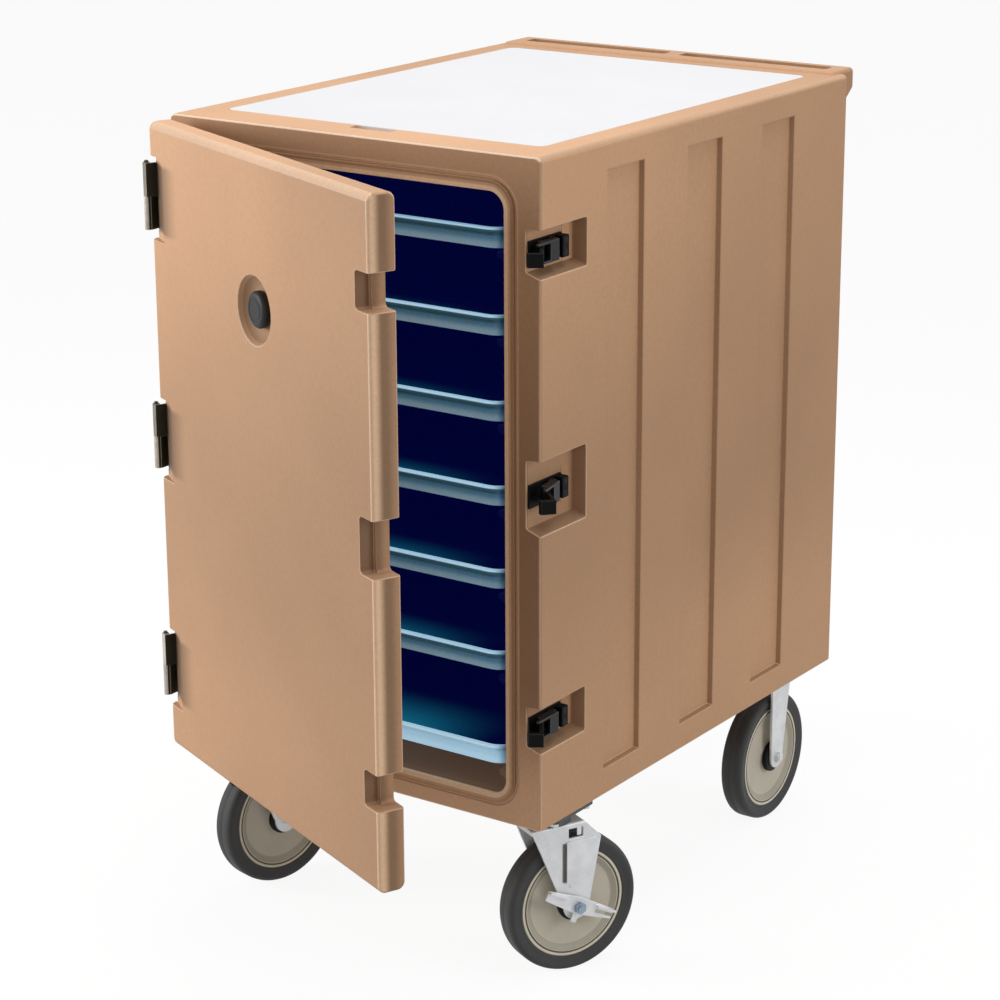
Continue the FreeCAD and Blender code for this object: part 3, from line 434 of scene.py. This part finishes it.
sandPlastic = mouldedFinish("sandPlastic", sandSettings)
sandShade = mouldedFinish("sandShade", sandSettings | {"colour": (0.30, 0.175, 0.10)})
sandSillShade = mouldedFinish("sandSillShade", sandSettings | {"colour": (0.34, 0.20, 0.114)})
sandEndShade = mouldedFinish("sandEndShade", sandSettings | {"colour": (0.46, 0.265, 0.15)})
grooveShade = mouldedFinish("grooveShade", sandSettings | {"colour": (0.41, 0.24, 0.137)})
# painted highlights on rounded edges and corners
sandGlint = mouldedFinish("sandGlint", highlightSettings | {"colour": (0.92, 0.68, 0.50)})
sandEdgeHighlight = mouldedFinish("sandEdgeHighlight", highlightSettings | {"colour": (0.74, 0.49, 0.325)})
sandRimHighlight = mouldedFinish("sandRimHighlight", highlightSettings | {"colour": (0.60, 0.38, 0.235)})
shellPlastic = makeShellFinish(shellSettings)

blackSettings = {
    "colour": (0.0075, 0.0075, 0.0082), "speckle": 0.30, "clouds": 0.15, "rough": (0.40, 0.56), "gloss": 0.13,
    "fine": 900.0, "coarse": 300.0, "cloud": 40.0, "bump": 0.2, "depth": 0.0003,
}
blackPlastic = mouldedFinish("blackPlastic", blackSettings)
latchBlack = mouldedFinish("latchBlack", blackSettings | {
    "colour": (0.0035, 0.0035, 0.0038), "rough": (0.44, 0.6), "gloss": 0.09})

greySettings = {
    "colour": (0.019, 0.0195, 0.0215), "speckle": 0.25, "clouds": 0.2, "rough": (0.36, 0.52), "gloss": 0.2,
    "fine": 900.0, "coarse": 260.0, "cloud": 35.0, "bump": 0.2, "depth": 0.0003,
}
greyPlastic = mouldedFinish("greyPlastic", greySettings)
leverGrey = mouldedFinish("leverGrey", greySettings | {"colour": (0.0118, 0.0121, 0.0132)})
greyEdgeHighlight = mouldedFinish("greyEdgeHighlight", greySettings | {
    "colour": (0.05, 0.058, 0.068), "speckle": 0.2, "rough": (0.3, 0.42), "gloss": 0.5, "bump": 0.12})

whitePlastic = mouldedFinish("whitePlastic", {
    "colour": (0.765, 0.765, 0.78), "speckle": 0.02, "clouds": 0.02, "rough": (0.42, 0.58), "gloss": 0.3,
    "fine": 700.0, "coarse": 160.0, "cloud": 6.0, "bump": 0.12, "depth": 0.0004})

tyreRubber = mouldedFinish("tyreRubber", {
    "colour": (0.058, 0.058, 0.058), "speckle": 0.22, "clouds": 0.16, "rough": (0.55, 0.72), "gloss": 0.3,
    "fine": 800.0, "coarse": 210.0, "cloud": 18.0, "bump": 0.25, "depth": 0.0006})

coreSettings = {
    "colour": (0.67, 0.615, 0.50), "speckle": 0.07, "clouds": 0.06, "rough": (0.4, 0.55), "gloss": 0.4,
    "fine": 700.0, "coarse": 180.0, "cloud": 14.0, "bump": 0.14, "depth": 0.0005,
}
corePlastic = mouldedFinish("corePlastic", coreSettings)
coreBeadHighlight = mouldedFinish("coreBeadHighlight", coreSettings | {"colour": (0.86, 0.80, 0.66)})
coreConeShade = mouldedFinish("coreConeShade", coreSettings | {"colour": (0.49, 0.455, 0.36)})
coreShade = mouldedFinish("coreShade", coreSettings | {"colour": (0.16, 0.135, 0.09)})

sealRubber = mouldedFinish("sealRubber", {
    "colour": (0.045, 0.043, 0.042), "speckle": 0.2, "clouds": 0.15, "rough": (0.6, 0.75), "gloss": 0.3,
    "fine": 800.0, "coarse": 240.0, "cloud": 20.0, "bump": 0.2, "depth": 0.0004})

foamCore = mouldedFinish("foamCore", {
    "colour": (0.80, 0.70, 0.45), "speckle": 0.25, "clouds": 0.1, "rough": (0.8, 0.95), "gloss": 0.2,
    "fine": 900.0, "coarse": 350.0, "cloud": 12.0, "bump": 0.5, "depth": 0.001})

zincSettings = {
    "colour": (0.84, 0.86, 0.88), "speckle": 0.06, "clouds": 0.14, "rough": (0.30, 0.44), "metal": 0.2,
    "gloss": 0.6, "fine": 900.0, "coarse": 240.0, "cloud": 30.0, "bump": 0.06, "depth": 0.0003,
}
zincSteel = mouldedFinish("zincSteel", zincSettings)
zincHighlight = mouldedFinish("zincHighlight", zincSettings | {"colour": (0.93, 0.94, 0.95)})
nutSteel = mouldedFinish("nutSteel", zincSettings | {"colour": (0.30, 0.37, 0.46), "metal": 0.6})

hingeSettings = {
    "colour": (0.030, 0.027, 0.017), "speckle": 0.3, "clouds": 0.3, "rough": (0.3, 0.48), "metal": 0.25,
    "fine": 900.0, "coarse": 240.0, "cloud": 30.0, "bump": 0.15, "depth": 0.0003,
}
hingeSteel = mouldedFinish("hingeSteel", hingeSettings)
hingeEdgeHighlight = mouldedFinish("hingeEdgeHighlight", hingeSettings | {"colour": (0.20, 0.18, 0.13)})
hingeKnuckleHighlight = mouldedFinish("hingeKnuckleHighlight", hingeSettings | {"colour": (0.52, 0.47, 0.40)})
darkSteel = mouldedFinish("darkSteel", hingeSettings | {"colour": (0.052, 0.055, 0.052), "metal": 0.3})


# painted light and shade on the trays: pale blue with painted highlights and glow at the lip, and painted shade in
# deep blue behind it
traySettings = {
    "face": (0.16, 0.43, 0.64), "faceGlow": (0.0, 0.016, 0.042),
    "foot": (0.44, 0.70, 0.84), "footGlow": (0.03, 0.07, 0.11), "footBand": (0.017, 0.004),
    "line": (0.06, 0.24, 0.40), "lineGlow": (0.0, 0.0, 0.0), "lineBand": (-0.016, -0.011),
    "rim": (0.74, 0.90, 0.97), "rimGlow": (0.16, 0.33, 0.45), "rimBand": (-0.0036, -0.0016),
    "end": (0.03, 0.15, 0.25), "endGlow": (0.0, 0.008, 0.02), "endBand": (-0.030, -0.006),
    "deepShade": (0.002, 0.006, 0.06), "fade": (0.012, 0.045),
    "navy": (0.0003, 0.0009, 0.022), "teal": (0.004, 0.105, 0.185), "tealFade": (0.150, 0.010),
    "tealSide": (0.21, 0.02),
    "speckle": 0.05, "clouds": 0.06, "rough": (0.22, 0.34), "gloss": 0.35,
    "fine": 800.0, "coarse": 260.0, "cloud": 12.0, "bump": 0.06, "depth": 0.0003,
}
# the lowest tray takes more painted light and glow
lowTraySettings = traySettings | {
    "face": (0.62, 0.84, 0.95), "faceGlow": (0.11, 0.24, 0.345),
    "foot": (0.66, 0.86, 0.96), "footGlow": (0.17, 0.33, 0.45),
    "line": (0.60, 0.83, 0.95), "lineGlow": (0.075, 0.185, 0.275), "rimGlow": (0.20, 0.36, 0.47),
    "teal": (0.006, 0.135, 0.225), "tealFade": (0.20, 0.010),
}
trayLight = {2: 1.0, 3: 1.0, 4: 1.0, 5: 0.8, 6: 0.55, 7: 0.08}  # less light reaches the upper trays


def makeTrayFinish(tray, s):
    material, tree, shader, place, grain = startFinish(tray + "Plastic", s)
    low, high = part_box(tray)
    parts = splitPlace(tree, place)
    colour, glow = s["face"], s["faceGlow"]
    # the lip's foot, a line under its top, its rim and its far end are painted lighter or darker, with glow, as
    # light and shade
    layers = (("foot", "Z", low.z), ("line", "Z", high.z), ("rim", "Z", high.z), ("end", "X", high.x))
    for key, axis, origin in layers:
        mask = rampMask(tree, parts[axis], s[key + "Band"], origin)
        colour = mixColours(tree, mask, colour, s[key])
        glow = mixColours(tree, mask, glow, s[key + "Glow"])
    # painted shade: deep blue behind the lip, with a faint navy glow and a teal glow towards the door
    deepShade = rampMask(tree, parts["Y"], s["fade"], low.y)
    near = rampMask(tree, parts["Y"], s["tealFade"], low.y)
    doorSide = rampMask(tree, parts["X"], s["tealSide"], middleX)
    inner = mixColours(tree, timesMask(tree, near, doorSide), s["navy"], s["teal"])
    addTint(tree, shader, grain, s, mixColours(tree, deepShade, colour, s["deepShade"]))
    addGlow(tree, shader, mixColours(tree, deepShade, glow, inner))
    return material


linerSettings = sandSettings | {
    "floor": (0.12, 0.07, 0.04), "floorGlow": (0.055, 0.033, 0.022), "noGlow": (0.0, 0.0, 0.0),
    "deepShade": (0.002, 0.006, 0.06), "navy": (0.0003, 0.0009, 0.022),
    "fade": (0.001, 0.006), "sill": (-0.001, 0.005), "gloss": 0.06,
}


def makeLinerFinish(name, s):  # painted shade: deep blue with a faint navy glow inside, down to the lowest tray, and a dark floor with a faint painted glow below it
    material, tree, shader, place, grain = startFinish(name, s)
    parts = splitPlace(tree, place)
    inside = rampMask(tree, parts["Y"], s["fade"], frontY)
    outside = rampMask(tree, parts["Y"], s["fade"][::-1], frontY)
    above = rampMask(tree, parts["Z"], s["sill"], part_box("tray_1")[0].z)
    deepShade = timesMask(tree, inside, above)
    colour = mixColours(tree, outside, s["floor"], addMouth(tree, place, s["colour"], mouthSettings))
    glow = mixColours(tree, inside, s["noGlow"], s["floorGlow"])
    addTint(tree, shader, grain, s, mixColours(tree, deepShade, colour, s["deepShade"]))
    addGlow(tree, shader, mixColours(tree, deepShade, glow, s["navy"]))
    return material


# the door's front direction, the way to its free edge and its reach along both
ventJoint = next(j for j in frame["joints"] if j["name"] == "vent_turn")
ventSpot = Vector(ventJoint["pos_m"])
doorFront = Vector(ventJoint["axis"])
doorFree = Vector((-doorFront.y, doorFront.x, 0))
doorPoints = [v.co for v in nodes["door_shell"].data.vertices]
doorFace = max(p.dot(doorFront) for p in doorPoints)
doorStart = min(p.dot(doorFree) for p in doorPoints)
doorEnd = max(p.dot(doorFree) for p in doorPoints)
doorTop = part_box("door_shell")[1].z

# shade gathers in the hollows behind the hinges
doorSettings = sandSettings | {
    "hollow": (0.16, 0.095, 0.055), "reach": (0.106, 0.022), "over": (-0.061, -0.050), "under": (0.061, 0.050),
}


def makeDoorFinish(s):
    material, tree, shader, place, grain = startFinish("doorPlastic", s)
    along = alongPlace(tree, place, doorFree)
    near = rampMask(tree, along, s["reach"], doorStart)
    height = splitPlace(tree, place)["Z"]
    across = rampMask(tree, along, (doorStart, doorEnd))
    # painted light over the door, from top to foot and from the hinges to the free edge
    colour = addLightFall(tree, height, across, lightFallSettings["door"], lightFallSettings)
    for spot in places:
        ends = [p.z for leaf in ("hinge_body_leaf_", "hinge_door_leaf_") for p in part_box(leaf + spot)]
        level = sum(ends) / len(ends)
        over = rampMask(tree, height, s["over"], level)
        under = rampMask(tree, height, s["under"], level)
        mask = timesMask(tree, timesMask(tree, over, under), near)
        colour = mixColours(tree, mask, colour, s["hollow"])
    addTint(tree, shader, grain, s, colour)
    return material


# painted light on the free edge: a painted highlight where it turns from the front, then painted shade, then lighter
# towards the back
stripSettings = sandSettings | {
    "turn": (0.99, 0.65, 0.41), "near": (0.33, 0.195, 0.11), "far": (0.53, 0.305, 0.175),
    "turnBand": (-0.007, -0.021), "backBand": (-0.026, -0.041),
}


def makeStripFinish(s):
    material, tree, shader, place, grain = startFinish("doorStrip", s)
    depth = alongPlace(tree, place, doorFront)
    # painted highlight near the front turning into painted shade behind it
    colour = mixColours(tree, rampMask(tree, depth, s["turnBand"], doorFace), s["turn"], s["near"])
    back = rampMask(tree, depth, s["backBand"], doorFace)
    addTint(tree, shader, grain, s, mixColours(tree, back, colour, s["far"]))
    return material


doorPlastic = makeDoorFinish(doorSettings)
doorStrip = makeStripFinish(stripSettings)
doorEdgeHighlight = mouldedFinish("doorEdgeHighlight", highlightSettings | {"colour": (0.95, 0.64, 0.43)})
doorDishShade = mouldedFinish("doorDishShade", sandSettings | {"colour": (0.43, 0.25, 0.14)})
linerPlastic = makeLinerFinish("linerPlastic", linerSettings)
# painted highlight on the liner's rounded edges
linerEdgeHighlight = makeLinerFinish("linerEdgeHighlight", linerSettings | {"colour": (0.70, 0.46, 0.30)})

finishOf = {
    "body_shell": shellPlastic, "body_liner": linerPlastic, "body_insulation": foamCore,
    "body_fill_plug": blackPlastic, "door_shell": doorPlastic, "door_panel": sandPlastic,
    "door_insulation": foamCore, "door_fill_plug": blackPlastic, "door_gasket": sealRubber,
    "vent_bush": blackPlastic, "vent_cap": greyPlastic, "cutting_board": whitePlastic,
    "front_axle_right": nutSteel, "tray_1": makeTrayFinish("tray_1", lowTraySettings),
}
for number, share in trayLight.items():
    tray = "tray_" + str(number)
    teal = tuple(share * a + (1 - share) * b for a, b in zip(traySettings["teal"], traySettings["navy"]))
    finishOf[tray] = makeTrayFinish(tray, traySettings | {"teal": teal})
finishByStart = (  # for the other nodes; the first that fits
    ("hinge_", hingeSteel), ("latch_lever", greyPlastic), ("latch_", blackPlastic),
    ("front_wheel_core", corePlastic), ("rear_wheel_core", corePlastic),
    ("front_tyre", tyreRubber), ("rear_tyre", tyreRubber),
    ("caster_plate", darkSteel), ("kingpins", darkSteel), ("", zincSteel),
)


def putFinishes(piece, finishes):
    piece.data.materials.clear()
    for finish in finishes:
        piece.data.materials.append(finish)


for name, piece in nodes.items():
    putFinishes(piece, [finishOf.get(name) or next(m for start, m in finishByStart if name.startswith(start))])
print("finishes on", len(nodes), "nodes")


# modelling helpers

bodyOf = {node: body for body, names in frame["record"]["behaviour"]["bodies"].items() for node in names}
meshSettings = {
    "merge": 0.00001, "flat": 0.5,  # a copied node: metres, degrees
    "weld": 0.000001, "seed": 0.01,  # a drawn outline: metres
    "weight": 80,  # how much wide faces steer the normals
}


def pickOnly(piece):
    bpy.ops.object.select_all(action="DESELECT")
    piece.select_set(True)
    bpy.context.view_layer.objects.active = piece


def copyNode(node, name):  # a merged copy of a frame piece, flat faces joined up
    piece = bpy.data.objects.new(name, nodes[node].data.copy())
    bpy.context.collection.objects.link(piece)
    pickOnly(piece)
    bpy.ops.mesh.customdata_custom_splitnormals_clear()
    bpy.ops.object.mode_set(mode="EDIT")
    bpy.ops.mesh.select_all(action="SELECT")
    bpy.ops.mesh.remove_doubles(threshold=meshSettings["merge"])
    bpy.ops.mesh.dissolve_limited(angle_limit=math.radians(meshSettings["flat"]))
    bpy.ops.object.mode_set(mode="OBJECT")
    return piece


def flatFaces(piece, angle):  # smooth over small angles, wide faces kept flat
    pickOnly(piece)
    bpy.ops.object.shade_smooth_by_angle(angle=math.radians(angle))
    even = piece.modifiers.new("even", "WEIGHTED_NORMAL")
    even.keep_sharp = True
    even.weight = meshSettings["weight"]
    bpy.ops.object.modifier_apply(modifier="even")


def softenEdges(piece, s):  # rounds the sharp edges; they take the second finish
    pickOnly(piece)
    bpy.ops.object.mode_set(mode="EDIT")
    bpy.ops.mesh.select_mode(type="EDGE")
    bpy.ops.mesh.select_all(action="DESELECT")
    bpy.ops.mesh.edges_select_sharp(sharpness=math.radians(s["angle"]))
    bpy.ops.object.mode_set(mode="OBJECT")
    points = piece.data.vertices
    for edge in piece.data.edges:
        middle = (points[edge.vertices[0]].co + points[edge.vertices[1]].co) / 2
        if edge.select and "leave" in s and s["leave"](middle):
            edge.select = False
    bpy.ops.object.mode_set(mode="EDIT")
    bpy.ops.mesh.bevel(offset=s["width"], segments=s["segments"], affect="EDGES", clamp_overlap=False, material=1)
    bpy.ops.mesh.select_mode(type="VERT")
    bpy.ops.object.mode_set(mode="OBJECT")
    flatFaces(piece, s["smooth"])


def settle(piece, body, replaced=()):
    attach(piece, body)
    if replaced:
        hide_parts(*replaced)


def softCopy(node, s, finishes):
    piece = copyNode(node, node + "_soft")
    putFinishes(piece, finishes)
    softenEdges(piece, s)
    settle(piece, bodyOf[node], (node,))
    return piece


def refinish(piece, finishes, choose, s):  # each face takes the finish that choose returns for it
    for face in piece.data.polygons:
        face.material_index = finishes.index(choose(face, finishes[face.material_index], s))


def jointPlace(name):  # the joint's place, with X turned into its axis
    joint = next(j for j in frame["joints"] if j["name"] == name)
    turn = Vector((1, 0, 0)).rotation_difference(Vector(joint["axis"]))
    return Matrix.Translation(Vector(joint["pos_m"])) @ turn.to_matrix().to_4x4()


def startPiece(name):  # an empty mesh in edit mode
    bpy.ops.object.select_all(action="DESELECT")
    bpy.ops.mesh.primitive_plane_add(size=meshSettings["seed"])
    piece = bpy.context.object
    piece.name = name
    bpy.ops.object.mode_set(mode="EDIT")
    bpy.ops.mesh.select_all(action="SELECT")
    bpy.ops.mesh.delete(type="VERT")
    return piece


def drawLine(points):  # in edit mode, from point to point
    bpy.ops.mesh.primitive_plane_add(size=meshSettings["seed"])
    bpy.ops.mesh.merge(type="CENTER")
    bpy.ops.transform.translate(value=points[0])
    for here, there in zip(points, points[1:]):
        bpy.ops.mesh.extrude_vertices_move(TRANSFORM_OT_translate={"value": there - here})


def turnOutlines(name, outlines, s):  # closed outlines of (radius, offset) in mm, turned about X
    piece = startPiece(name)
    for outline in outlines:
        drawLine([Vector((x, 0, r)) / mmPerMetre for r, x in outline + outline[:1]])
    bpy.ops.mesh.select_all(action="SELECT")
    bpy.ops.mesh.remove_doubles(threshold=meshSettings["weld"])
    bpy.ops.mesh.spin(steps=s["steps"], angle=2 * math.pi, center=(0, 0, 0), axis=(1, 0, 0))
    bpy.ops.mesh.select_all(action="SELECT")
    bpy.ops.mesh.remove_doubles(threshold=meshSettings["weld"])
    bpy.ops.mesh.normals_make_consistent(inside=False)
    bpy.ops.object.mode_set(mode="OBJECT")
    bpy.ops.object.shade_smooth_by_angle(angle=math.radians(s["smooth"]))
    return piece


def standAt(piece, place):
    piece.matrix_world = place
    pickOnly(piece)
    bpy.ops.object.transform_apply(location=True, rotation=True, scale=True)


# moulded and pressed pieces with their edges rounded

handleSettings = {"fromRear": 0.13, "fromTop": 0.12}


def atHandle(point):
    fromRear, fromTop = handleSettings["fromRear"], handleSettings["fromTop"]
    return point.y > shellHigh.y - fromRear and point.z > shellHigh.z - fromTop


crispEdge = {"segments": 2, "angle": 32, "smooth": 38}
edgeSettings = {
    "shell": crispEdge | {"width": 0.0014, "leave": atHandle},
    "liner": crispEdge | {"width": 0.0012},
    "latch": crispEdge | {"width": 0.0007},
    "hinge": crispEdge | {"width": 0.0005},
    "fork": crispEdge | {"width": 0.0009},
    "plate": crispEdge | {"width": 0.0008},
    "seal": {"width": 0.0020, "segments": 3, "angle": 40, "smooth": 40},
}

# lengths are depths from the body's sides, front, rear, top and bottom; turns are parts of a normal
shellFaceSettings = {
    "wall": (0.0008, 0.06), "wallFront": 0.009, "wallRear": 0.12, "wallEnd": 0.03, "wallTurn": 0.8, "sillTurn": 0.5,
    "corner": 0.011, "frontCorner": 0.006, "flat": 0.96, "grooves": 0.165,
    "gripSide": 0.004, "gripRear": 0.052, "gripTurn": 0.5,
}


def shellFinishAt(face, kept, s):
    middle, turn = face.center, face.normal
    beside = min(middle.x - shellLow.x, shellHigh.x - middle.x)
    held = atHandle(middle)
    # painted shade on the ends of the rear handle
    if held and beside > s["gripSide"] and middle.y > shellHigh.y - s["gripRear"] and abs(turn.x) > s["gripTurn"]:
        return sandEndShade
    bySide, byFront = beside < s["corner"], middle.y - frontY < s["frontCorner"]
    byEnd = min(middle.z - underZ, shellHigh.z - middle.z) < s["corner"]
    # painted highlight on the rounded corners, brightest along the front top edge
    if bySide + byFront + byEnd > 1 and max(abs(n) for n in turn) < s["flat"]:
        return sandGlint if byFront and byEnd else sandRimHighlight
    # the edges along the side behind the pockets keep no painted highlight
    if kept == sandEdgeHighlight:
        return shellPlastic if bySide and middle.y > frontY + s["grooves"] and not held else kept
    # painted shade on the walls and sills of grooves and pockets
    inDepth = frontY + s["wallFront"] < middle.y < shellHigh.y - s["wallRear"]
    inHeight = underZ + s["wallEnd"] < middle.z < shellHigh.z - s["wallEnd"]
    if s["wall"][0] < beside < s["wall"][1] and abs(turn.x) < s["wallTurn"] and inDepth and inHeight:
        return sandSillShade if turn.z > s["sillTurn"] else grooveShade
    return kept


# lengths are depths from the door's free edge, front and top, and the vent dish's radius
doorFaceSettings = {
    "edge": 0.0065, "edgeFlat": 0.93, "edgeTurn": 0.25, "notch": 0.09, "notchTurn": 0.8, "notchLip": 0.02,
    "top": 0.0135, "topTurn": 0.12, "dish": 0.05, "dishDepth": 0.0015,
}


def doorFinishAt(face, kept, s):
    middle = face.center
    fromFree = doorEnd - middle.dot(doorFree)
    fromFace = doorFace - middle.dot(doorFront)
    toFree, toFront = face.normal.dot(doorFree), face.normal.dot(doorFront)
    # painted highlight on the free edge's rounding, brightest where it turns from the front
    if fromFree < s["edge"]:
        if toFree > s["edgeFlat"]:
            return doorStrip
        if abs(toFront) > s["edgeTurn"]:
            return doorEdgeHighlight if toFront > 0 else sandEdgeHighlight
        return kept
    # painted shade on the notch walls near the front
    if fromFree < s["notch"] and toFree > s["notchTurn"]:
        return sandShade if fromFace < s["notchLip"] else doorStrip
    # painted highlight along the top edge
    if middle.z > doorTop - s["top"] and face.normal.z > s["topTurn"] and toFront > s["topTurn"]:
        return sandEdgeHighlight
    # painted shade in the vent dish
    fromVent = middle - ventSpot
    radius = (fromVent - doorFront * fromVent.dot(doorFront)).length
    if radius < s["dish"] and toFront > 0 and fromFace > s["dishDepth"] and kept == doorPlastic:
        return doorDishShade
    return kept


shellFinishes = (shellPlastic, sandEdgeHighlight, grooveShade, sandSillShade, sandRimHighlight, sandGlint, sandEndShade)
doorFinishes = (doorPlastic, sandEdgeHighlight, doorStrip, sandShade, doorDishShade, doorEdgeHighlight)
hingeFinishes = (hingeSteel, hingeEdgeHighlight, hingeKnuckleHighlight)
zincFinishes = (zincSteel, zincHighlight)
leafSettings = {"knuckle": 0.0105}


def makeLeaf(node, lowest, s):  # painted highlight on the outer side of the knuckles, brightest on the lowest hinge and the lower halves
    leaf = softCopy(node, edgeSettings["hinge"], hingeFinishes)
    low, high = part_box(node)

    def leafFinishAt(face, kept, s):
        if face.center.x < low.x + s["knuckle"]:
            return hingeKnuckleHighlight if lowest or face.center.z < (low.z + high.z) / 2 else hingeEdgeHighlight
        return kept

    refinish(leaf, hingeFinishes, leafFinishAt, s)


# rounded edges take the second finish, mostly a paler one as a painted highlight
shell = softCopy("body_shell", edgeSettings["shell"], shellFinishes)
refinish(shell, shellFinishes, shellFinishAt, shellFaceSettings)
door = softCopy("door_shell", edgeSettings["shell"], doorFinishes)
refinish(door, doorFinishes, doorFinishAt, doorFaceSettings)
softCopy("body_liner", edgeSettings["liner"], (linerPlastic, linerEdgeHighlight))
for place in places:
    # the latches' rounded edges take a lighter finish as a painted highlight
    softCopy("latch_base_" + place, edgeSettings["latch"], (latchBlack, blackPlastic))
    softCopy("latch_lever_" + place, edgeSettings["latch"], (leverGrey, greyEdgeHighlight))
    softCopy("latch_hook_" + place, edgeSettings["latch"], (latchBlack, greyPlastic))
    for half in ("body", "door"):
        makeLeaf("hinge_%s_leaf_%s" % (half, place), place == "lower", leafSettings)
# the forks' rounded edges take a paler finish as a painted highlight
for side in sides:
    softCopy("front_fork_" + side, edgeSettings["fork"], zincFinishes)
    softCopy("rear_fork_" + side, edgeSettings["fork"], zincFinishes)
softCopy("brake_lever_right", edgeSettings["fork"], zincFinishes)
softCopy("door_gasket", edgeSettings["seal"], (sealRubber, sealRubber))
print("edges rounded")


# wheels: a turned core, a solid tyre and a guard ring on each side of the hub

wheelSettings = {
    "steps": 96, "smooth": 32,
    "core": [(6.6, 23.0), (16.5, 23.0), (18.0, 22.5), (23.2, 21.6), (24.0, 20.6), (24.0, 16.5), (25.5, 14.2),
             (29.0, 12.2), (34.0, 11.4), (70.0, 11.0), (75.0, 11.2), (78.4, 12.2), (83.4, 16.2), (84.8, 16.8),
             (86.4, 16.8), (87.0, 15.6), (88.4, 15.4), (89.2, 17.0), (90.6, 17.9), (92.4, 17.9), (93.4, 17.4),
             (94.5, 17.2)],
    "inner": 0.010,  # metres from the wheel's middle, where the rings below begin
    # painted highlight on the bead, painted shade in the grooves beside it and on the cone
    "rings": ((coreBeadHighlight, 89.0, 93.2), (coreShade, 86.4, 89.0), (coreShade, 93.2, 94.5), (coreConeShade, 76.0, 84.8)),
    "tyre": [(94.8, 17.6), (95.6, 18.1), (97.4, 18.6), (98.2, 18.3), (99.6, 18.5), (104.0, 19.5), (108.0, 20.5),
             (110.6, 20.95), (113.2, 20.5), (115.4, 19.2), (117.2, 17.2), (118.4, 14.6), (118.9, 12.0),
             (119.0, 8.0), (119.0, 0.9), (118.6, 0.0)],
    "guard": [(24.5, 15.4), (26.8, 14.6), (28.4, 15.8), (28.4, 22.4), (27.2, 24.2), (22.0, 25.2), (17.5, 25.2),
              (17.5, 23.5), (24.5, 23.5)],
}
coreFinishes = (corePlastic, coreBeadHighlight, coreShade, coreConeShade)


def bothSides(half):  # an outline and its mirror, joined into one loop
    return half + [(r, -x) for r, x in reversed(half) if x > 0]


def coreFinishAt(face, kept, s):
    radius = math.hypot(face.center.y, face.center.z) * mmPerMetre
    if abs(face.center.x) > s["inner"]:
        return next((finish for finish, low, high in s["rings"] if low < radius < high), kept)
    return kept


def makeWheel(end, side, s):
    label = "_" + end + "_" + side
    spot = jointPlace(end + "_spin_" + side)
    body = end + "_wheel_" + side
    core = turnOutlines("wheelCore" + label, [bothSides(s["core"])], s)
    putFinishes(core, coreFinishes)
    refinish(core, coreFinishes, coreFinishAt, s)
    standAt(core, spot)
    settle(core, body, (end + "_wheel_core_" + side,))
    tyre = turnOutlines("wheelTyre" + label, [bothSides(s["tyre"])], s)
    putFinishes(tyre, (tyreRubber,))
    standAt(tyre, spot)
    settle(tyre, body, (end + "_tyre_" + side,))
    mirrored = [(r, -x) for r, x in s["guard"]]
    guard = turnOutlines("threadGuard" + label, [s["guard"], mirrored], s)
    putFinishes(guard, (blackPlastic,))
    standAt(guard, spot)
    settle(guard, body)


for end in ("front", "rear"):
    for side in sides:
        makeWheel(end, side, wheelSettings)
print("wheels turned")


# brake plate, a dark strip standing in for the shadow beside it, and window tab on the braked fork, placed from its
# axle

forkSettings = {
    "plate": {"outline": [(-20, 43), (28, 43), (37, 108), (34, 116), (-20, 116)], "from": 31.1, "to": 34.4},
    "rod": {"outline": [(-26, 46), (-20.6, 46), (-20.6, 114), (-26, 114)], "from": 31.1, "to": 33.4},
    "tab": {"outline": [(1, 124), (9, 124), (9, 138), (1, 138)], "from": 28.0, "to": 30.4},
}


def makeFlat(name, s, finishes):  # an outline of (y, z) in mm, given a thickness along X
    piece = startPiece(name)
    drawLine([Vector((s["from"], y, z)) / mmPerMetre for y, z in s["outline"]])
    bpy.ops.mesh.select_all(action="SELECT")
    bpy.ops.mesh.edge_face_add()
    thick = Vector(((s["to"] - s["from"]) / mmPerMetre, 0, 0))
    bpy.ops.mesh.extrude_region_move(TRANSFORM_OT_translate={"value": thick})
    bpy.ops.mesh.select_all(action="SELECT")
    bpy.ops.mesh.normals_make_consistent(inside=False)
    bpy.ops.object.mode_set(mode="OBJECT")
    putFinishes(piece, finishes)
    softenEdges(piece, edgeSettings["plate"])
    standAt(piece, jointPlace("front_spin_right"))
    settle(piece, "front_swivel_right")


makeFlat("brakePlate", forkSettings["plate"], zincFinishes)
# painted shadow: a dark strip along the plate's left edge
makeFlat("brakeShadowStrip", forkSettings["rod"], (darkSteel, hingeEdgeHighlight))
# the window tab takes the paler zinc finish all over, as a painted highlight
makeFlat("windowTab", forkSettings["tab"], (zincHighlight, zincHighlight))
print("brake plate fitted")


# vent cap: a turned dial with a bevelled rim

ventSettings = {
    "steps": 72, "smooth": 35,
    "outline": [(0.0, 0.0), (15.4, 0.0), (16.0, -0.5), (19.6, -0.5), (20.2, 0.0), (23.6, -0.1), (27.2, -2.2),
                (28.8, -4.8), (29.0, -7.0), (29.0, -12.4), (28.4, -12.9), (0.0, -12.9)],
}


def makeVentCap(s):
    front = max((v.co - ventSpot).dot(doorFront) for v in nodes["vent_cap"].data.vertices) * mmPerMetre
    cap = turnOutlines("ventDial", [[(r, front + x) for r, x in s["outline"]]], s)
    putFinishes(cap, (greyPlastic,))
    standAt(cap, jointPlace("vent_turn"))
    settle(cap, "vent_cap", ("vent_cap",))


makeVentCap(ventSettings)
print("vent dial turned")
